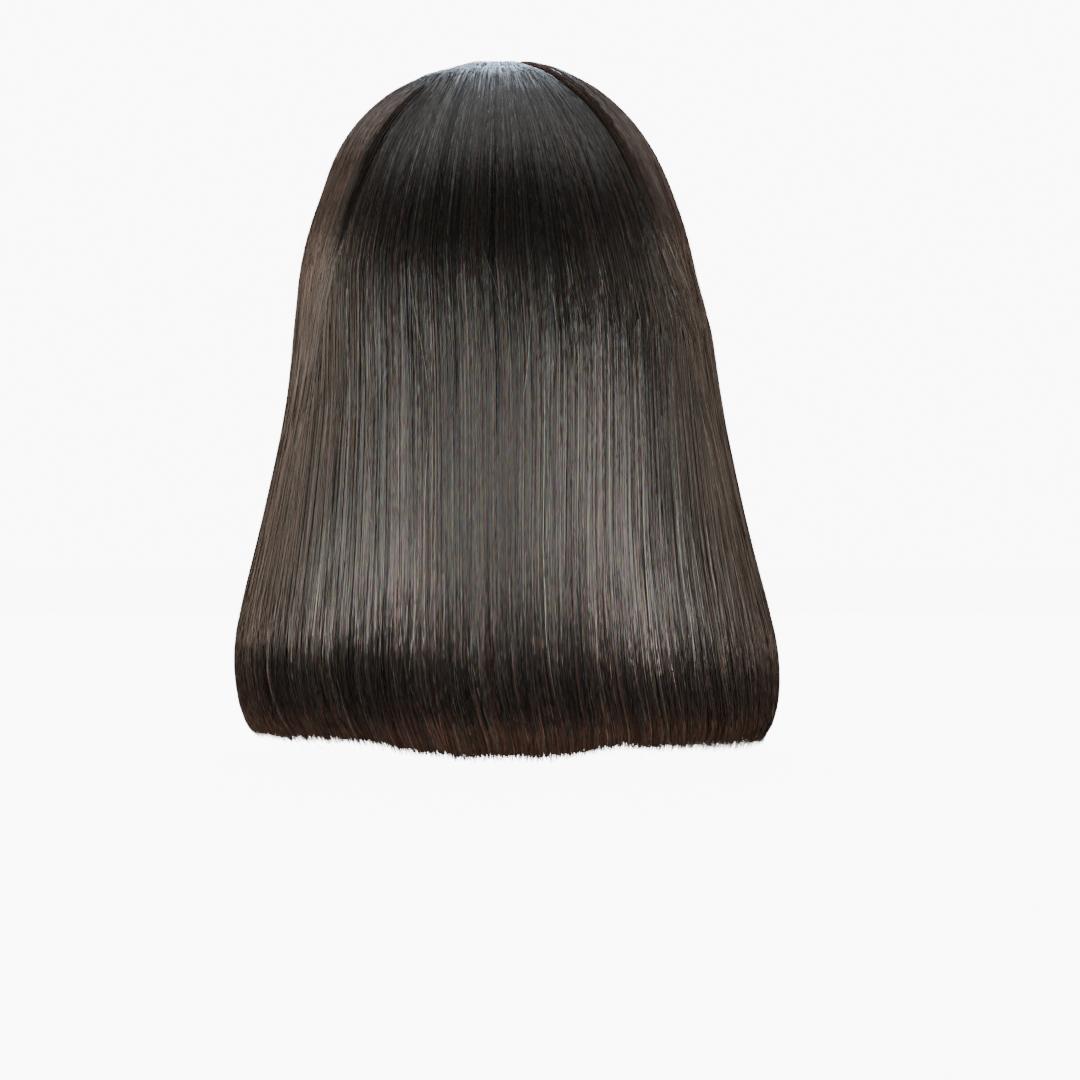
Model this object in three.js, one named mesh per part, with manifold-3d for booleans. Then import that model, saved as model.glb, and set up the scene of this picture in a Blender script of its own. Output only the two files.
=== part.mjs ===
// A straight, shoulder-length bob wig with a centre parting, as it hangs when it is worn.
// Millimetres. +Z is up, the face opening looks along -Y, and the wearer's left is +X.
// The origin is the inside of the cap at the crown, where the top of the head sits.
import * as THREE from "three";
import { mergeVertices } from "three/addons/utils/BufferGeometryUtils.js";
import Module from "manifold-3d";

const wasm = await Module();
wasm.setup();

// The head that the cap fits: half of its breadth and length, and its depth from the crown to its widest level.
const HEAD_HALF_WIDTH = 81;
const HEAD_HALF_LENGTH = 100;
const HEAD_DEPTH = 100;

// The cap and the lace panel let into its top. RIM_STEP is where, as a share of the rim's height, its wall starts to
// thin to the net's.
const CAP_WALL = 1.3;
const RIM_WALL = 2.4;
const RIM_HEIGHT = 9;
const RIM_STEP = 0.85;
const CAP_COLUMNS = 44;
const CAP_ROWS = 8;
const PANEL_WIDTH = 52;
const PANEL_BACK = 46;
const PANEL_CORNER = 14;
const SEAM_GAP = 0.35;

// How thick the hair lies over the cap, and how far off the cap it starts, which the flat facets of both use up.
const HAIR_CLEAR = 1;
const HAIR_TOP = 6.5;
const HAIR_SIDE = 14;
const HAIR_BACK = 15.5;
const HAIR_FRONT = 8;

// Over the dome, as shares of its height: the hair is thinner up to the temple's reach, and at the sides it is fuller
// on the shoulder above.
const TEMPLE_DIP = 3;
const TEMPLE_REACH = 0.85;
const SHOULDER = 2;
const SHOULDER_FROM = 0.42;
const SHOULDER_TO = 0.93;

// The fall below the widest level of the head, down to the cut ends. The under layer hangs free of the cap by a share
// of it, and the ends are drawn together by a share of the thickness.
const FALL = 219;
const HEM_HALF_WIDTH = 133;
const HEM_LEAN = 6;
const HEM_THICK = 13;
const NAPE_THICK = 8;
const NAPE_FREE = 0.75;
const TIP_ROUND = 3;
const TIP_DRAWN = 0.25;

// The parting: bare lace between its two sides, and the small arc at its crown end that the back hair fans from. The
// first roots of a side section leave that arc for the parting.
const PARTING_GAP = 3;
const CROWN_ARC = 7;
const PARTING_BACK_DEG = 15;
const PARTING_FRONT_DEG = 46;
const CROWN_SHARE = 0.22;
const ROOT_THICK = 4.5;

// Angles round the head, from straight back, where one section of hair meets the next.
const BACK_EDGE_DEG = 60;
const FRONT_EDGE_DEG = 142;
const NAPE_EDGE_DEG = 64;
const NAPE_ROOT_TOP = 0.02;
const NAPE_ROOT_RISE = 0.26;
const SIDE_STEP = 1.6;
const SECTION_GAP = 0.6;
const FRONT_EDGE_THIN_DEG = 14;
const FRONT_EDGE_SHARE = 0.38;

// Locks: the ridges that the hair falls in, how deep the grooves between them are, and how much of that depth they
// have at the widest level. One lock is a little wider than the next, as a share of its width, and longer.
const LOCK_GROOVE = 1.5;
const GROOVE_AT_WIDEST = 0.8;
const LOCK_COLUMNS = 3;
const LOCK_UNEVEN = 0.22;
const BACK_LOCKS = 14;
const SIDE_LOCKS = 10;
const NAPE_LOCKS = 9;
const TIP_UNEVEN = 1.6;

// The lower rim of the cap. drop is below the widest level, as a share of the head's depth; over the brow it is
// negative.
const RIM = [
  { angle: 0, drop: 0.48 },
  { angle: 38, drop: 0.42 },
  { angle: 66, drop: 0.12 },
  { angle: 86, drop: 0.02 },
  { angle: 104, drop: 0.18 },
  { angle: 118, drop: -0.04 },
  { angle: 134, drop: -0.36 },
  { angle: 155, drop: -0.6 },
  { angle: 180, drop: -0.66 },
];

// The fall, from the head's widest level to the hem. drop is a share of FALL, flare the share of the way from the
// head's half-width to HEM_HALF_WIDTH, back and front shares of the depths at the widest level, thick a share of the
// way from the thickness over the head to HEM_THICK, and lean a share of HEM_LEAN.
const FALL_ROWS = [
  { drop: 0, flare: 0, back: 1, front: 1, thick: 0, lean: 0.1 },
  { drop: 0.1, flare: 0.13, back: 1.008, front: 0.995, thick: 0.25, lean: 0.4 },
  { drop: 0.24, flare: 0.22, back: 1.012, front: 0.985, thick: 0.5, lean: 0.56 },
  { drop: 0.42, flare: 0.45, back: 1.014, front: 0.97, thick: 0.8, lean: 0.55 },
  { drop: 0.58, flare: 0.67, back: 1.018, front: 0.955, thick: 1, lean: 0.52 },
  { drop: 0.72, flare: 0.9, back: 1.024, front: 0.945, thick: 1, lean: 0.58 },
  { drop: 0.82, flare: 1, back: 1.022, front: 0.94, thick: 1, lean: 0.7 },
  { drop: 0.91, flare: 0.98, back: 1, front: 0.93, thick: 0.95, lean: 0.86 },
  { drop: 0.97, flare: 0.88, back: 0.965, front: 0.91, thick: 0.8, lean: 0.97 },
  { drop: 1, flare: 0.74, back: 0.94, front: 0.895, thick: 0.6, lean: 1 },
];

// Where the rings of the dome lie, as shares of each strand's way from its root to the widest level, and the share
// by which the hair has risen from its roots to its full thickness.
const DOME_STEPS = [0, 0.07, 0.17, 0.29, 0.43, 0.57, 0.72, 0.86];
const ROOT_LIFT = 0.17;

const HAIR_COLOUR = 0x1c1512;
const CAP_COLOUR = 0x15110f;
const LACE_COLOUR = 0xc9a98c;

const rad = THREE.MathUtils.degToRad;
const lerp = THREE.MathUtils.lerp;
const smooth = THREE.MathUtils.smoothstep;

// The value of one column of a table at x, on a smooth curve through its rows.
function along(rows, key, x, column) {
  const last = rows.length - 1;
  const at = THREE.MathUtils.clamp(x, rows[0][key], rows[last][key]);
  const i = Math.min(last - 1, Math.max(0, rows.findIndex((row) => row[key] >= at) - 1));
  const slope = (k) => {
    const a = rows[Math.max(0, k - 1)];
    const b = rows[Math.min(last, k + 1)];
    return (b[column] - a[column]) / (b[key] - a[key]);
  };
  const [from, to] = [rows[i], rows[i + 1]];
  const span = to[key] - from[key];
  const t = (at - from[key]) / span;
  return (
    (2 * t ** 3 - 3 * t ** 2 + 1) * from[column] +
    (t ** 3 - 2 * t ** 2 + t) * span * slope(i) +
    (3 * t ** 2 - 2 * t ** 3) * to[column] +
    (t ** 3 - t ** 2) * span * slope(i + 1)
  );
}

// The direction, from the middle of the head, of a strand that falls at an angle from straight back.
const fallDirection = (deg) => new THREE.Vector3(Math.sin(rad(deg)), Math.cos(rad(deg)), 0);

// The direction of that strand's root: along the parting for the sides, round the crown arc for the back.
function rootDirection(deg) {
  const size = Math.abs(deg);
  const side = Math.sign(deg) || 1;
  if (size <= BACK_EDGE_DEG) {
    const turn = rad((deg / BACK_EDGE_DEG) * 90);
    const arc = CROWN_ARC / HEAD_HALF_WIDTH;
    const from = Math.sin(rad(PARTING_BACK_DEG));
    return onSphere(arc * Math.sin(turn), from + arc * Math.cos(turn));
  }
  const share = (size - BACK_EDGE_DEG) / (FRONT_EDGE_DEG - BACK_EDGE_DEG);
  const lean = lerp(PARTING_BACK_DEG, -PARTING_FRONT_DEG, share);
  const aside = lerp(CROWN_ARC, PARTING_GAP / 2, smooth(share, 0, CROWN_SHARE));
  const behind = SECTION_GAP / HEAD_HALF_LENGTH;
  return onSphere((side * aside) / HEAD_HALF_WIDTH, Math.sin(rad(lean)) - behind);
}

function onSphere(x, y) {
  return new THREE.Vector3(x, y, Math.sqrt(Math.max(0, 1 - x * x - y * y)));
}

// The direction at a share of the way round the great circle from a to b.
function between(a, b, share) {
  const angle = a.angleTo(b);
  const [wa, wb] = [Math.sin((1 - share) * angle), Math.sin(share * angle)];
  return a.clone().multiplyScalar(wa).addScaledVector(b, wb).divideScalar(Math.sin(angle));
}

// A point on a head-shaped dome that stands off the head by these amounts at the side, back, front and top.
function onDome(direction, off) {
  const length = HEAD_HALF_LENGTH + (direction.y > 0 ? off.back : off.front);
  return new THREE.Vector3(
    direction.x * (HEAD_HALF_WIDTH + off.side),
    direction.y * length,
    direction.z * (HEAD_DEPTH + off.top) - HEAD_DEPTH,
  );
}

const even = (off) => ({ side: off, back: off, front: off, top: off });
const CAP_OUTSIDE = even(CAP_WALL);
const HAIR_INSIDE = even(CAP_WALL + HAIR_CLEAR);
const HAIR_OUTSIDE = {
  side: HAIR_INSIDE.side + HAIR_SIDE,
  back: HAIR_INSIDE.back + HAIR_BACK,
  front: HAIR_INSIDE.front + HAIR_FRONT,
  top: HAIR_INSIDE.top + HAIR_TOP,
};

// How thin a side section gets towards its front edge, from 1 to FRONT_EDGE_SHARE.
function edgeShare(deg) {
  const into = (Math.abs(deg) - (FRONT_EDGE_DEG - FRONT_EDGE_THIN_DEG)) / FRONT_EDGE_THIN_DEG;
  return lerp(1, FRONT_EDGE_SHARE, Math.max(0, into) ** 2);
}

// The groove between two locks: 1 in the groove and 0 along the middle of a lock.
const groove = (column) => (column % LOCK_COLUMNS === 0 ? 1 : 0);

// A pattern from -1 to 1 that changes from lock to lock and doesn't repeat across a section.
const unevenness = (lock) => Math.sin(lock * 2.4) * Math.cos(lock * 0.7 + 1);

// How far across a section a column stands, from 0 to 1, in locks that are a little wider or narrower in turn.
function across(column, locks) {
  const lock = Math.min(locks - 1, Math.floor(column / LOCK_COLUMNS));
  const edge = (k) => (k > 0 && k < locks ? k + LOCK_UNEVEN * unevenness(k) : k);
  return lerp(edge(lock), edge(lock + 1), column / LOCK_COLUMNS - lock) / locks;
}

// A pair of points on one strand's line, outside and inside the hair, over the dome.
function domePair(deg, share, raised) {
  const direction = between(rootDirection(deg), fallDirection(deg), share);
  const inside = onDome(direction, HAIR_INSIDE);
  const outside = onDome(direction, HAIR_OUTSIDE);
  const dip = TEMPLE_DIP * Math.sin(Math.PI * Math.min(1, direction.z / TEMPLE_REACH));
  const above = THREE.MathUtils.clamp((direction.z - SHOULDER_FROM) / (SHOULDER_TO - SHOULDER_FROM), 0, 1);
  const bySide = smooth(Math.abs(deg), BACK_EDGE_DEG / 2, BACK_EDGE_DEG);
  const full = outside.distanceTo(inside) - dip + SHOULDER * Math.sin(Math.PI * above) * bySide;
  const lift = smooth(share, 0, ROOT_LIFT);
  const thick = lerp(ROOT_THICK, full * edgeShare(deg), lift) + raised * lift;
  outside.sub(inside).setLength(thick).add(inside);
  return { outside, inside };
}

// The half-width, depths and thickness of the fall at a share of the way down.
function fallSection(share) {
  const value = (column) => along(FALL_ROWS, "drop", share, column);
  const domeHalfWidth = HEAD_HALF_WIDTH + HAIR_OUTSIDE.side;
  const thick = (over) => lerp(over, HEM_THICK, value("thick"));
  return {
    halfWidth: lerp(domeHalfWidth, HEM_HALF_WIDTH, value("flare")),
    back: (HEAD_HALF_LENGTH + HAIR_OUTSIDE.back) * value("back"),
    front: (HEAD_HALF_LENGTH + HAIR_OUTSIDE.front) * value("front"),
    sideThick: thick(HAIR_SIDE),
    backThick: thick(HAIR_BACK),
    frontThick: thick(HAIR_FRONT),
    centre: -HEM_LEAN * value("lean"),
    z: -HEAD_DEPTH - FALL * share,
  };
}

// A point of the fall, so far in from its outer surface, where the thicknesses of the section count as 1.
function onFall(deg, section, inward) {
  const direction = fallDirection(deg);
  const depth = direction.y > 0
    ? section.back - inward * section.backThick
    : section.front - inward * section.frontThick;
  return new THREE.Vector3(
    section.centre + direction.x * (section.halfWidth - inward * section.sideThick),
    direction.y * depth,
    section.z,
  );
}

// A pair of points on one strand's line over the fall. A thin front edge is drawn in from outside where it leaves
// the dome, and lies midway below.
function fallPair(deg, share, raised) {
  const section = fallSection(share);
  const thinned = 1 - edgeShare(deg);
  const settled = smooth(share, 0, FALL_ROWS[2].drop);
  const outside = onFall(deg, section, thinned * lerp(1, 0.5, settled));
  const inside = onFall(deg, section, 1 - thinned * lerp(0, 0.5, settled));
  const outward = outside.clone().sub(inside).normalize();
  outside.addScaledVector(outward, raised);
  return { outside, inside };
}

// A closed mesh as a solid, once its shared points are merged and the faces that this collapses are dropped.
function solidFrom(points, faces) {
  const loose = new THREE.BufferGeometry();
  const corners = faces.flatMap((face) => face.flatMap((i) => points[i].toArray()));
  loose.setAttribute("position", new THREE.Float32BufferAttribute(corners, 3));
  const merged = mergeVertices(loose, 1e-3);
  const index = merged.index.array;
  const kept = [];
  for (let i = 0; i < index.length; i += 3) {
    const [a, b, c] = index.slice(i, i + 3);
    if (a !== b && b !== c && a !== c) kept.push(a, b, c);
  }
  return new wasm.Manifold(new wasm.Mesh({
    numProp: 3,
    vertProperties: merged.attributes.position.array,
    triVerts: new Uint32Array(kept),
  }));
}

// A wall between an outer and an inner grid of points, both [column][row]. A wall that goes all the way round joins
// its last column to its first; any other is closed along its two side edges.
function wallFrom(columns, allRound) {
  const rows = columns[0].length;
  const points = columns.flatMap((column) => column.flatMap((pair) => [pair.outside, pair.inside]));
  const at = (column, row, inside) => 2 * ((column % columns.length) * rows + row) + inside;
  const faces = [];
  const quad = (a, b, c, d) => faces.push([a, c, b], [a, d, c]);
  const spans = allRound ? columns.length : columns.length - 1;
  for (let c = 0; c < spans; c += 1) {
    for (let r = 0; r < rows - 1; r += 1) {
      quad(at(c, r, 0), at(c + 1, r, 0), at(c + 1, r + 1, 0), at(c, r + 1, 0));
      quad(at(c, r, 1), at(c, r + 1, 1), at(c + 1, r + 1, 1), at(c + 1, r, 1));
    }
    quad(at(c, 0, 1), at(c + 1, 0, 1), at(c + 1, 0, 0), at(c, 0, 0));
    quad(at(c, rows - 1, 0), at(c + 1, rows - 1, 0), at(c + 1, rows - 1, 1), at(c, rows - 1, 1));
  }
  if (!allRound) {
    const last = columns.length - 1;
    for (let r = 0; r < rows - 1; r += 1) {
      quad(at(0, r, 0), at(0, r + 1, 0), at(0, r + 1, 1), at(0, r, 1));
      quad(at(last, r, 1), at(last, r + 1, 1), at(last, r + 1, 0), at(last, r, 0));
    }
  }
  return solidFrom(points, faces);
}

function meshOf(name, solid, colour, roughness) {
  const { numProp, vertProperties, triVerts } = solid.getMesh();
  const geometry = new THREE.BufferGeometry();
  geometry.setAttribute("position", new THREE.BufferAttribute(new Float32Array(vertProperties), numProp));
  geometry.setIndex(new THREE.BufferAttribute(new Uint32Array(triVerts), 1));
  geometry.computeVertexNormals();
  const material = new THREE.MeshStandardMaterial({ color: colour, roughness, metalness: 0 });
  const mesh = new THREE.Mesh(geometry, material);
  mesh.name = name;
  return mesh;
}

// How much further down a column ends than its section's hem: locks differ, and grooves end higher.
const tipDrop = (column) => TIP_UNEVEN * (unevenness(Math.round(column / LOCK_COLUMNS)) - groove(column));

// A section of hair from its roots to the hem, between two angles, with so many locks across it.
function hairSection(fromDeg, toDeg, locks, raisedAt) {
  const count = locks * LOCK_COLUMNS;
  const columns = [];
  for (let c = 0; c <= count; c += 1) {
    const deg = lerp(fromDeg, toDeg, across(c, locks));
    const raised = raisedAt(deg);
    const cut = (depth) => raised - groove(c) * LOCK_GROOVE * depth;
    const column = DOME_STEPS.map((share) => domePair(deg, share, cut(share)));
    for (const row of FALL_ROWS) column.push(fallPair(deg, row.drop, cut(GROOVE_AT_WIDEST + row.drop)));
    roundTips(column, tipDrop(c));
    columns.push(column);
  }
  return wallFrom(columns, false);
}

// The last pair of a strand's line is drawn together and let down, so that the cut ends are a blunt, rounded brush.
function roundTips(column, drop) {
  const { outside, inside } = column[column.length - 1];
  const towards = inside.clone().sub(outside).multiplyScalar(TIP_DRAWN);
  outside.add(towards);
  inside.sub(towards);
  outside.z -= drop + TIP_ROUND;
  inside.z = outside.z;
}

function makeBack() {
  const edge = BACK_EDGE_DEG - sectionGapDeg() / 2;
  return hairSection(edge, -edge, BACK_LOCKS, () => 0);
}

// The angle that SECTION_GAP takes up at the widest level.
const sectionGapDeg = () => THREE.MathUtils.radToDeg(SECTION_GAP / HEAD_HALF_WIDTH);

// A side section lies a little proud of the back one where they meet, and evens out towards the face.
function makeSide(side) {
  const near = side * (BACK_EDGE_DEG + sectionGapDeg() / 2);
  const far = side * FRONT_EDGE_DEG;
  const raisedAt = (deg) => SIDE_STEP * (1 - smooth(Math.abs(deg), BACK_EDGE_DEG, FRONT_EDGE_DEG));
  return side > 0
    ? hairSection(far, near, SIDE_LOCKS, raisedAt)
    : hairSection(near, far, SIDE_LOCKS, raisedAt);
}

// The under layer: it leaves the cap a little above the rim at the nape and hangs inside the back fall.
function makeNape() {
  const count = NAPE_LOCKS * LOCK_COLUMNS;
  const columns = [];
  for (let c = 0; c <= count; c += 1) {
    const deg = lerp(NAPE_EDGE_DEG, -NAPE_EDGE_DEG, across(c, NAPE_LOCKS));
    const rim = along(RIM, "angle", Math.abs(deg), "drop");
    const root = Math.max(NAPE_ROOT_TOP, rim - NAPE_ROOT_RISE);
    const seated = [0, 1 / 3, 2 / 3, 1].map((step) => (lerp(root, RIM[0].drop, step) * HEAD_DEPTH) / FALL);
    const free = FALL_ROWS.map((row) => row.drop).filter((drop) => drop * FALL > RIM[0].drop * HEAD_DEPTH);
    const column = [...seated, ...free]
      .map((share) => napePair(deg, share, groove(c) * LOCK_GROOVE));
    roundTips(column, tipDrop(c));
    columns.push(column);
  }
  return wallFrom(columns, false);
}

// Its inner side lies on the cap down to the rim, and below that it swings out to its own thickness.
function napePair(deg, share, cut) {
  const section = fallSection(share);
  const backInside = onFall(deg, section, 1);
  const outward = backInside.clone().setX(backInside.x - section.centre).setZ(0);
  const reach = outward.length() - SEAM_GAP;
  outward.normalize();
  const drop = Math.min(RIM[0].drop * HEAD_DEPTH, share * FALL);
  const swung = smooth(share * FALL, RIM[0].drop * HEAD_DEPTH, NAPE_FREE * FALL);
  const inner = lerp(capReach(outward, drop), reach - NAPE_THICK, swung) + cut * swung;
  const place = (distance, centre) => outward.clone().multiplyScalar(distance)
    .add(new THREE.Vector3(centre, 0, section.z));
  return { outside: place(reach, section.centre), inside: place(inner, section.centre * swung) };
}

// How far out the hair lies on the cap in a level direction, at a drop below the widest level.
function capReach(outward, drop) {
  const round = Math.sqrt(1 - (drop / (HEAD_DEPTH + HAIR_INSIDE.top)) ** 2);
  const halfWidth = (HEAD_HALF_WIDTH + HAIR_INSIDE.side) * round;
  const halfLength = (HEAD_HALF_LENGTH + HAIR_INSIDE.back) * round;
  return 1 / Math.hypot(outward.x / halfWidth, outward.y / halfLength);
}

// The cap: a dome over the head with a shaped lower rim, thicker along the rim where its edge is bound.
function makeCap() {
  const bound = RIM_HEIGHT / HEAD_DEPTH;
  const columns = [];
  for (let c = 0; c < CAP_COLUMNS; c += 1) {
    const deg = 180 - (360 * c) / CAP_COLUMNS;
    const rim = Math.asin(-along(RIM, "angle", Math.abs(deg), "drop"));
    const around = fallDirection(deg);
    const steps = [0, bound * RIM_STEP, bound];
    for (let r = 1; r <= CAP_ROWS; r += 1) steps.push(lerp(bound, Math.PI / 2 - rim, r / CAP_ROWS));
    const column = steps.map((step) => capPair(around, rim + step, step < bound ? RIM_WALL - CAP_WALL : 0));
    columns.push(column.reverse());
  }
  return wallFrom(columns, true);
}

function capPair(around, elevation, bind) {
  const direction = around.clone().multiplyScalar(Math.cos(elevation)).setZ(Math.sin(elevation));
  return { outside: onDome(direction, CAP_OUTSIDE), inside: onDome(direction, even(-bind)) };
}

// A block that stands over the lace panel's place: square at the brow, and rounded at the crown.
function panelBlock(grow) {
  const half = PANEL_WIDTH / 2 + grow;
  const back = PANEL_BACK + grow;
  const front = -2 * HEAD_HALF_LENGTH;
  const corner = PANEL_CORNER + grow;
  const outline = new THREE.Shape();
  outline.moveTo(-half, front);
  outline.lineTo(half, front);
  outline.lineTo(half, back - corner);
  outline.absarc(half - corner, back - corner, corner, 0, Math.PI / 2);
  outline.absarc(corner - half, back - corner, corner, Math.PI / 2, Math.PI);
  const block = new THREE.ExtrudeGeometry(outline, {
    depth: HEAD_DEPTH + 4 * CAP_WALL,
    bevelEnabled: false,
    curveSegments: 5,
  });
  block.translate(0, 0, -HEAD_DEPTH);
  const corners = block.attributes.position;
  const points = Array.from({ length: corners.count }, (_, i) =>
    new THREE.Vector3().fromBufferAttribute(corners, i));
  const faces = Array.from({ length: points.length / 3 }, (_, i) => [3 * i, 3 * i + 1, 3 * i + 2]);
  return solidFrom(points, faces);
}

const shell = makeCap();
const cap = shell.subtract(panelBlock(SEAM_GAP));
const lacePanel = shell.intersect(panelBlock(0));

const wig = new THREE.Group();
wig.add(
  meshOf("cap", cap, CAP_COLOUR, 0.8),
  meshOf("lace_panel", lacePanel, LACE_COLOUR, 0.7),
  meshOf("hair_back", makeBack(), HAIR_COLOUR, 0.4),
  meshOf("hair_left", makeSide(1), HAIR_COLOUR, 0.4),
  meshOf("hair_right", makeSide(-1), HAIR_COLOUR, 0.4),
  meshOf("hair_nape", makeNape(), HAIR_COLOUR, 0.45),
);

export default wig;
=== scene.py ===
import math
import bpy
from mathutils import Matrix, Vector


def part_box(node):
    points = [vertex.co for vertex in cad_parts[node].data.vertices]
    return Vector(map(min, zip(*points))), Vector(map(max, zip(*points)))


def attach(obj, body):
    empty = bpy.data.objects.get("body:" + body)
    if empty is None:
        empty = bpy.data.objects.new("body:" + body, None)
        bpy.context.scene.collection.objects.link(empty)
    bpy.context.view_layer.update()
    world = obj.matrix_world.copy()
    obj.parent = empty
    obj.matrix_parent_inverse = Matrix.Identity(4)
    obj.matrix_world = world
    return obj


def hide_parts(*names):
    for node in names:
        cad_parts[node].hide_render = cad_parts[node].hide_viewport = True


bl_info = {
    "name": "Bob wig",
    "version": (1, 0, 0),
    "blender": (4, 5, 0),
    "location": "View3D > Sidebar > Wig",
    "description": "Dresses a straight bob wig: hair, net cap, lace parting, floor, lights and camera",
    "category": "Object",
}

from types import SimpleNamespace
from typing import NamedTuple

import bpy
import numpy as np
from bpy.props import FloatProperty, FloatVectorProperty, IntProperty, PointerProperty
from mathutils import Vector

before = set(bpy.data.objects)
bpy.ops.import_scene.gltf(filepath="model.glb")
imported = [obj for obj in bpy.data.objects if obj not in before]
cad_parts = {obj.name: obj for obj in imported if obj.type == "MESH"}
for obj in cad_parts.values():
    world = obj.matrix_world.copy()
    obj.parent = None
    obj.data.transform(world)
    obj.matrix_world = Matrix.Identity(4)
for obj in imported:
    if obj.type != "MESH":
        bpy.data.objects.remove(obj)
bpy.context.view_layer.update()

LOWEST = min(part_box(node)[0][2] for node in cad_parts)

# The fall, from the head's widest level to the hem. drop is a share of the fall, flare the share of the way
# from the head's half-width to the hem's, back and front shares of the depths at the widest level, thick a
# share of the way from the thickness over the head to the hem's, and lean a share of the hem's lean.
FALL_COLUMNS = ("drop", "flare", "back", "front", "thick", "lean")
FALL_ROWS = np.array([
    (0.00, 0.00, 1.000, 1.000, 0.00, 0.10),
    (0.10, 0.13, 1.008, 0.995, 0.25, 0.40),
    (0.24, 0.22, 1.012, 0.985, 0.50, 0.56),
    (0.42, 0.45, 1.014, 0.970, 0.80, 0.55),
    (0.58, 0.67, 1.018, 0.955, 1.00, 0.52),
    (0.72, 0.90, 1.024, 0.945, 1.00, 0.58),
    (0.82, 1.00, 1.022, 0.940, 1.00, 0.70),
    (0.91, 0.98, 1.000, 0.930, 0.95, 0.86),
    (0.97, 0.88, 0.965, 0.910, 0.80, 0.97),
    (1.00, 0.74, 0.940, 0.895, 0.60, 1.00),
])

# The lower rim of the cap: the angle in degrees from straight back, and how far it is below the widest
# level, as a share of the head's depth.
RIM_COLUMNS = ("angle", "drop")
RIM_ROWS = np.array([
    (0, 0.48),
    (38, 0.42),
    (66, 0.12),
    (86, 0.02),
    (104, 0.18),
    (118, -0.04),
    (134, -0.36),
    (155, -0.60),
    (180, -0.66),
])

# The hem: how much shorter the hair is cut, in metres, at an angle in degrees that is positive on the
# wearer's left.
HEM_COLUMNS = ("angle", "shorter")
HEM_ROWS = np.array([
    (-150, 0.0010),
    (-62, 0.0012),
    (-54, 0.0020),
    (-44, 0.0036),
    (-36, 0.0030),
    (-28, 0.0045),
    (-20, 0.0032),
    (-10, 0.0010),
    (0, 0.0013),
    (17, 0.0008),
    (23, 0.0022),
    (29, 0.0029),
    (37, 0.0062),
    (48, 0.0067),
    (60, 0.0062),
    (80, 0.0055),
    (150, 0.0010),
])

# How a whole strand's points are shared out along it: most of them over the head, and a fifth in the hem's
# bevel.
STEP_SHARES = (0.0, 0.125, 0.583, 0.792, 1.0)
STEP_RUNS = (0.0, 0.1, 1.0, 1.78, 2.0)

# Runs: by where a strand has left the lace, and by where it has its full rise from a share of it at the
# root.
ROOTED = 0.05
ROOT_RISE = 0.08
ROOT_RAISED = 0.5

# How deep the roots go, as a share of the hair's thickness there.
BACK_ROOTED = 0.9
SIDE_ROOTED = 0.8

# How much more of the shoulder's fullness is on the wearer's left than on the right.
SHOULDER_LEAN = 0.4

# How much wider the crown arc is on the wearer's left.
CROWN_WIDER = 1.9

# Strands that fill the crown within its arc: how wide their own arc is as a share of it, and how many of
# the section's strands they are. At the sides they are this near the section's edge.
CROWN_FILL = ((0.85, 0.05), (0.65, 0.05), (0.45, 0.04), (0.25, 0.03))
CROWN_NEAR = math.radians(24)

# The share of a side section's roots that leave the crown's arc for the parting.
CROWN_SHARE = 0.22

# How far strands hang in from the flare, at 45 degrees from straight back, and the share of the fall by
# which they do.
HANG = math.radians(7.5)
HUNG = 0.8

# The share of the fall by which the under layer hangs free of the cap.
NAPE_FREE = 0.75

# A side section's edge: how far from it its shape reaches and its lip does, the lip's height at the very
# edge as a share of the whole, and how strongly its normals turn towards the back section.
EDGE_REACH = math.radians(30)
EDGE_LIP = math.radians(3.5)
LIP_LEAST = 0.2
EDGE_TURN = 1.4

# Runs over which a side section's edge comes to lie over the back section, leaves it again, draws back from
# it, loses its step, has its tuft rise and end, and stops turning.
OVER_RISE = 0.2
OVER_ENDS = (0.85, 1.35)
OPENS = (1.2, 1.6)
STEP_ENDS = (0.9, 1.5)
TUFT_RISES = (0.0, 0.10)
TUFT_ENDS = (0.12, 0.55)
TURN_ENDS = (0.5, 1.0)


class Edge(NamedTuple):
    """One side section's edge: the run at which it starts to lie over the back section, how far it drifts
    over it, its step and opening, and its tuft's height, all as shares of the usual, and the crest's height
    there as a share of the middle's."""

    start: float
    drift: float
    step: float
    tuft: float
    crest: float


LEFT = Edge(0.0, 1.6, 0.3, 0.0, 0.35)
RIGHT = Edge(0.05, 1.0, 1.0, 1.0, 0.15)

# The back section goes down under the side ones: from how far inside its edge, in their drifts, and the
# runs over which it goes down and comes up again.
UNDER_FROM = 1.3
UNDER_STARTS = (0.05, 0.3)
UNDER_ENDS = (1.0, 1.5)

# The crest at the parting's end: the runs that it ends between, and the angles over which it gets lower
# towards the back section's edges and ends past them.
CREST_RUNS = (0.03, 0.3)
CREST_FADE = math.radians(28)
CREST_REACH = math.radians(8)

# The ridges of the locks are three waves across the hair: each one's share, its turns a radian, its shift a
# run and its phase. Their least height is a share of the whole, which they have at the end of the runs.
WAVES = (
    (0.5, 23, 0.9, 0.0),
    (0.3, 51, 1.7, 1.3),
    (0.2, 97, -1.1, 0.4),
)
RIDGE_LEAST = 0.25
RIDGE_RUNS = (0.6, 2)

# How combed strands stray: by how many locks one may join another, and the parts of the spread of the
# lengths that go by chance, by the lock and to all.
LOCK_STRAY = 0.3
END_CHANCE = 0.55
END_LOCK = 0.9
END_ALL = 0.2

# The run by which a strand has wandered its whole drift, the share of it that comes and goes in a wave, and
# how fast that wave and the sway in depth turn. A wave's phase is chance times PHASES.
WANDERED = 1.4
WAVE = 0.5
WAVE_TURN = 2.6
SWAY = 0.03
SWAY_TURN = 3.1
PHASES = 6

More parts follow.
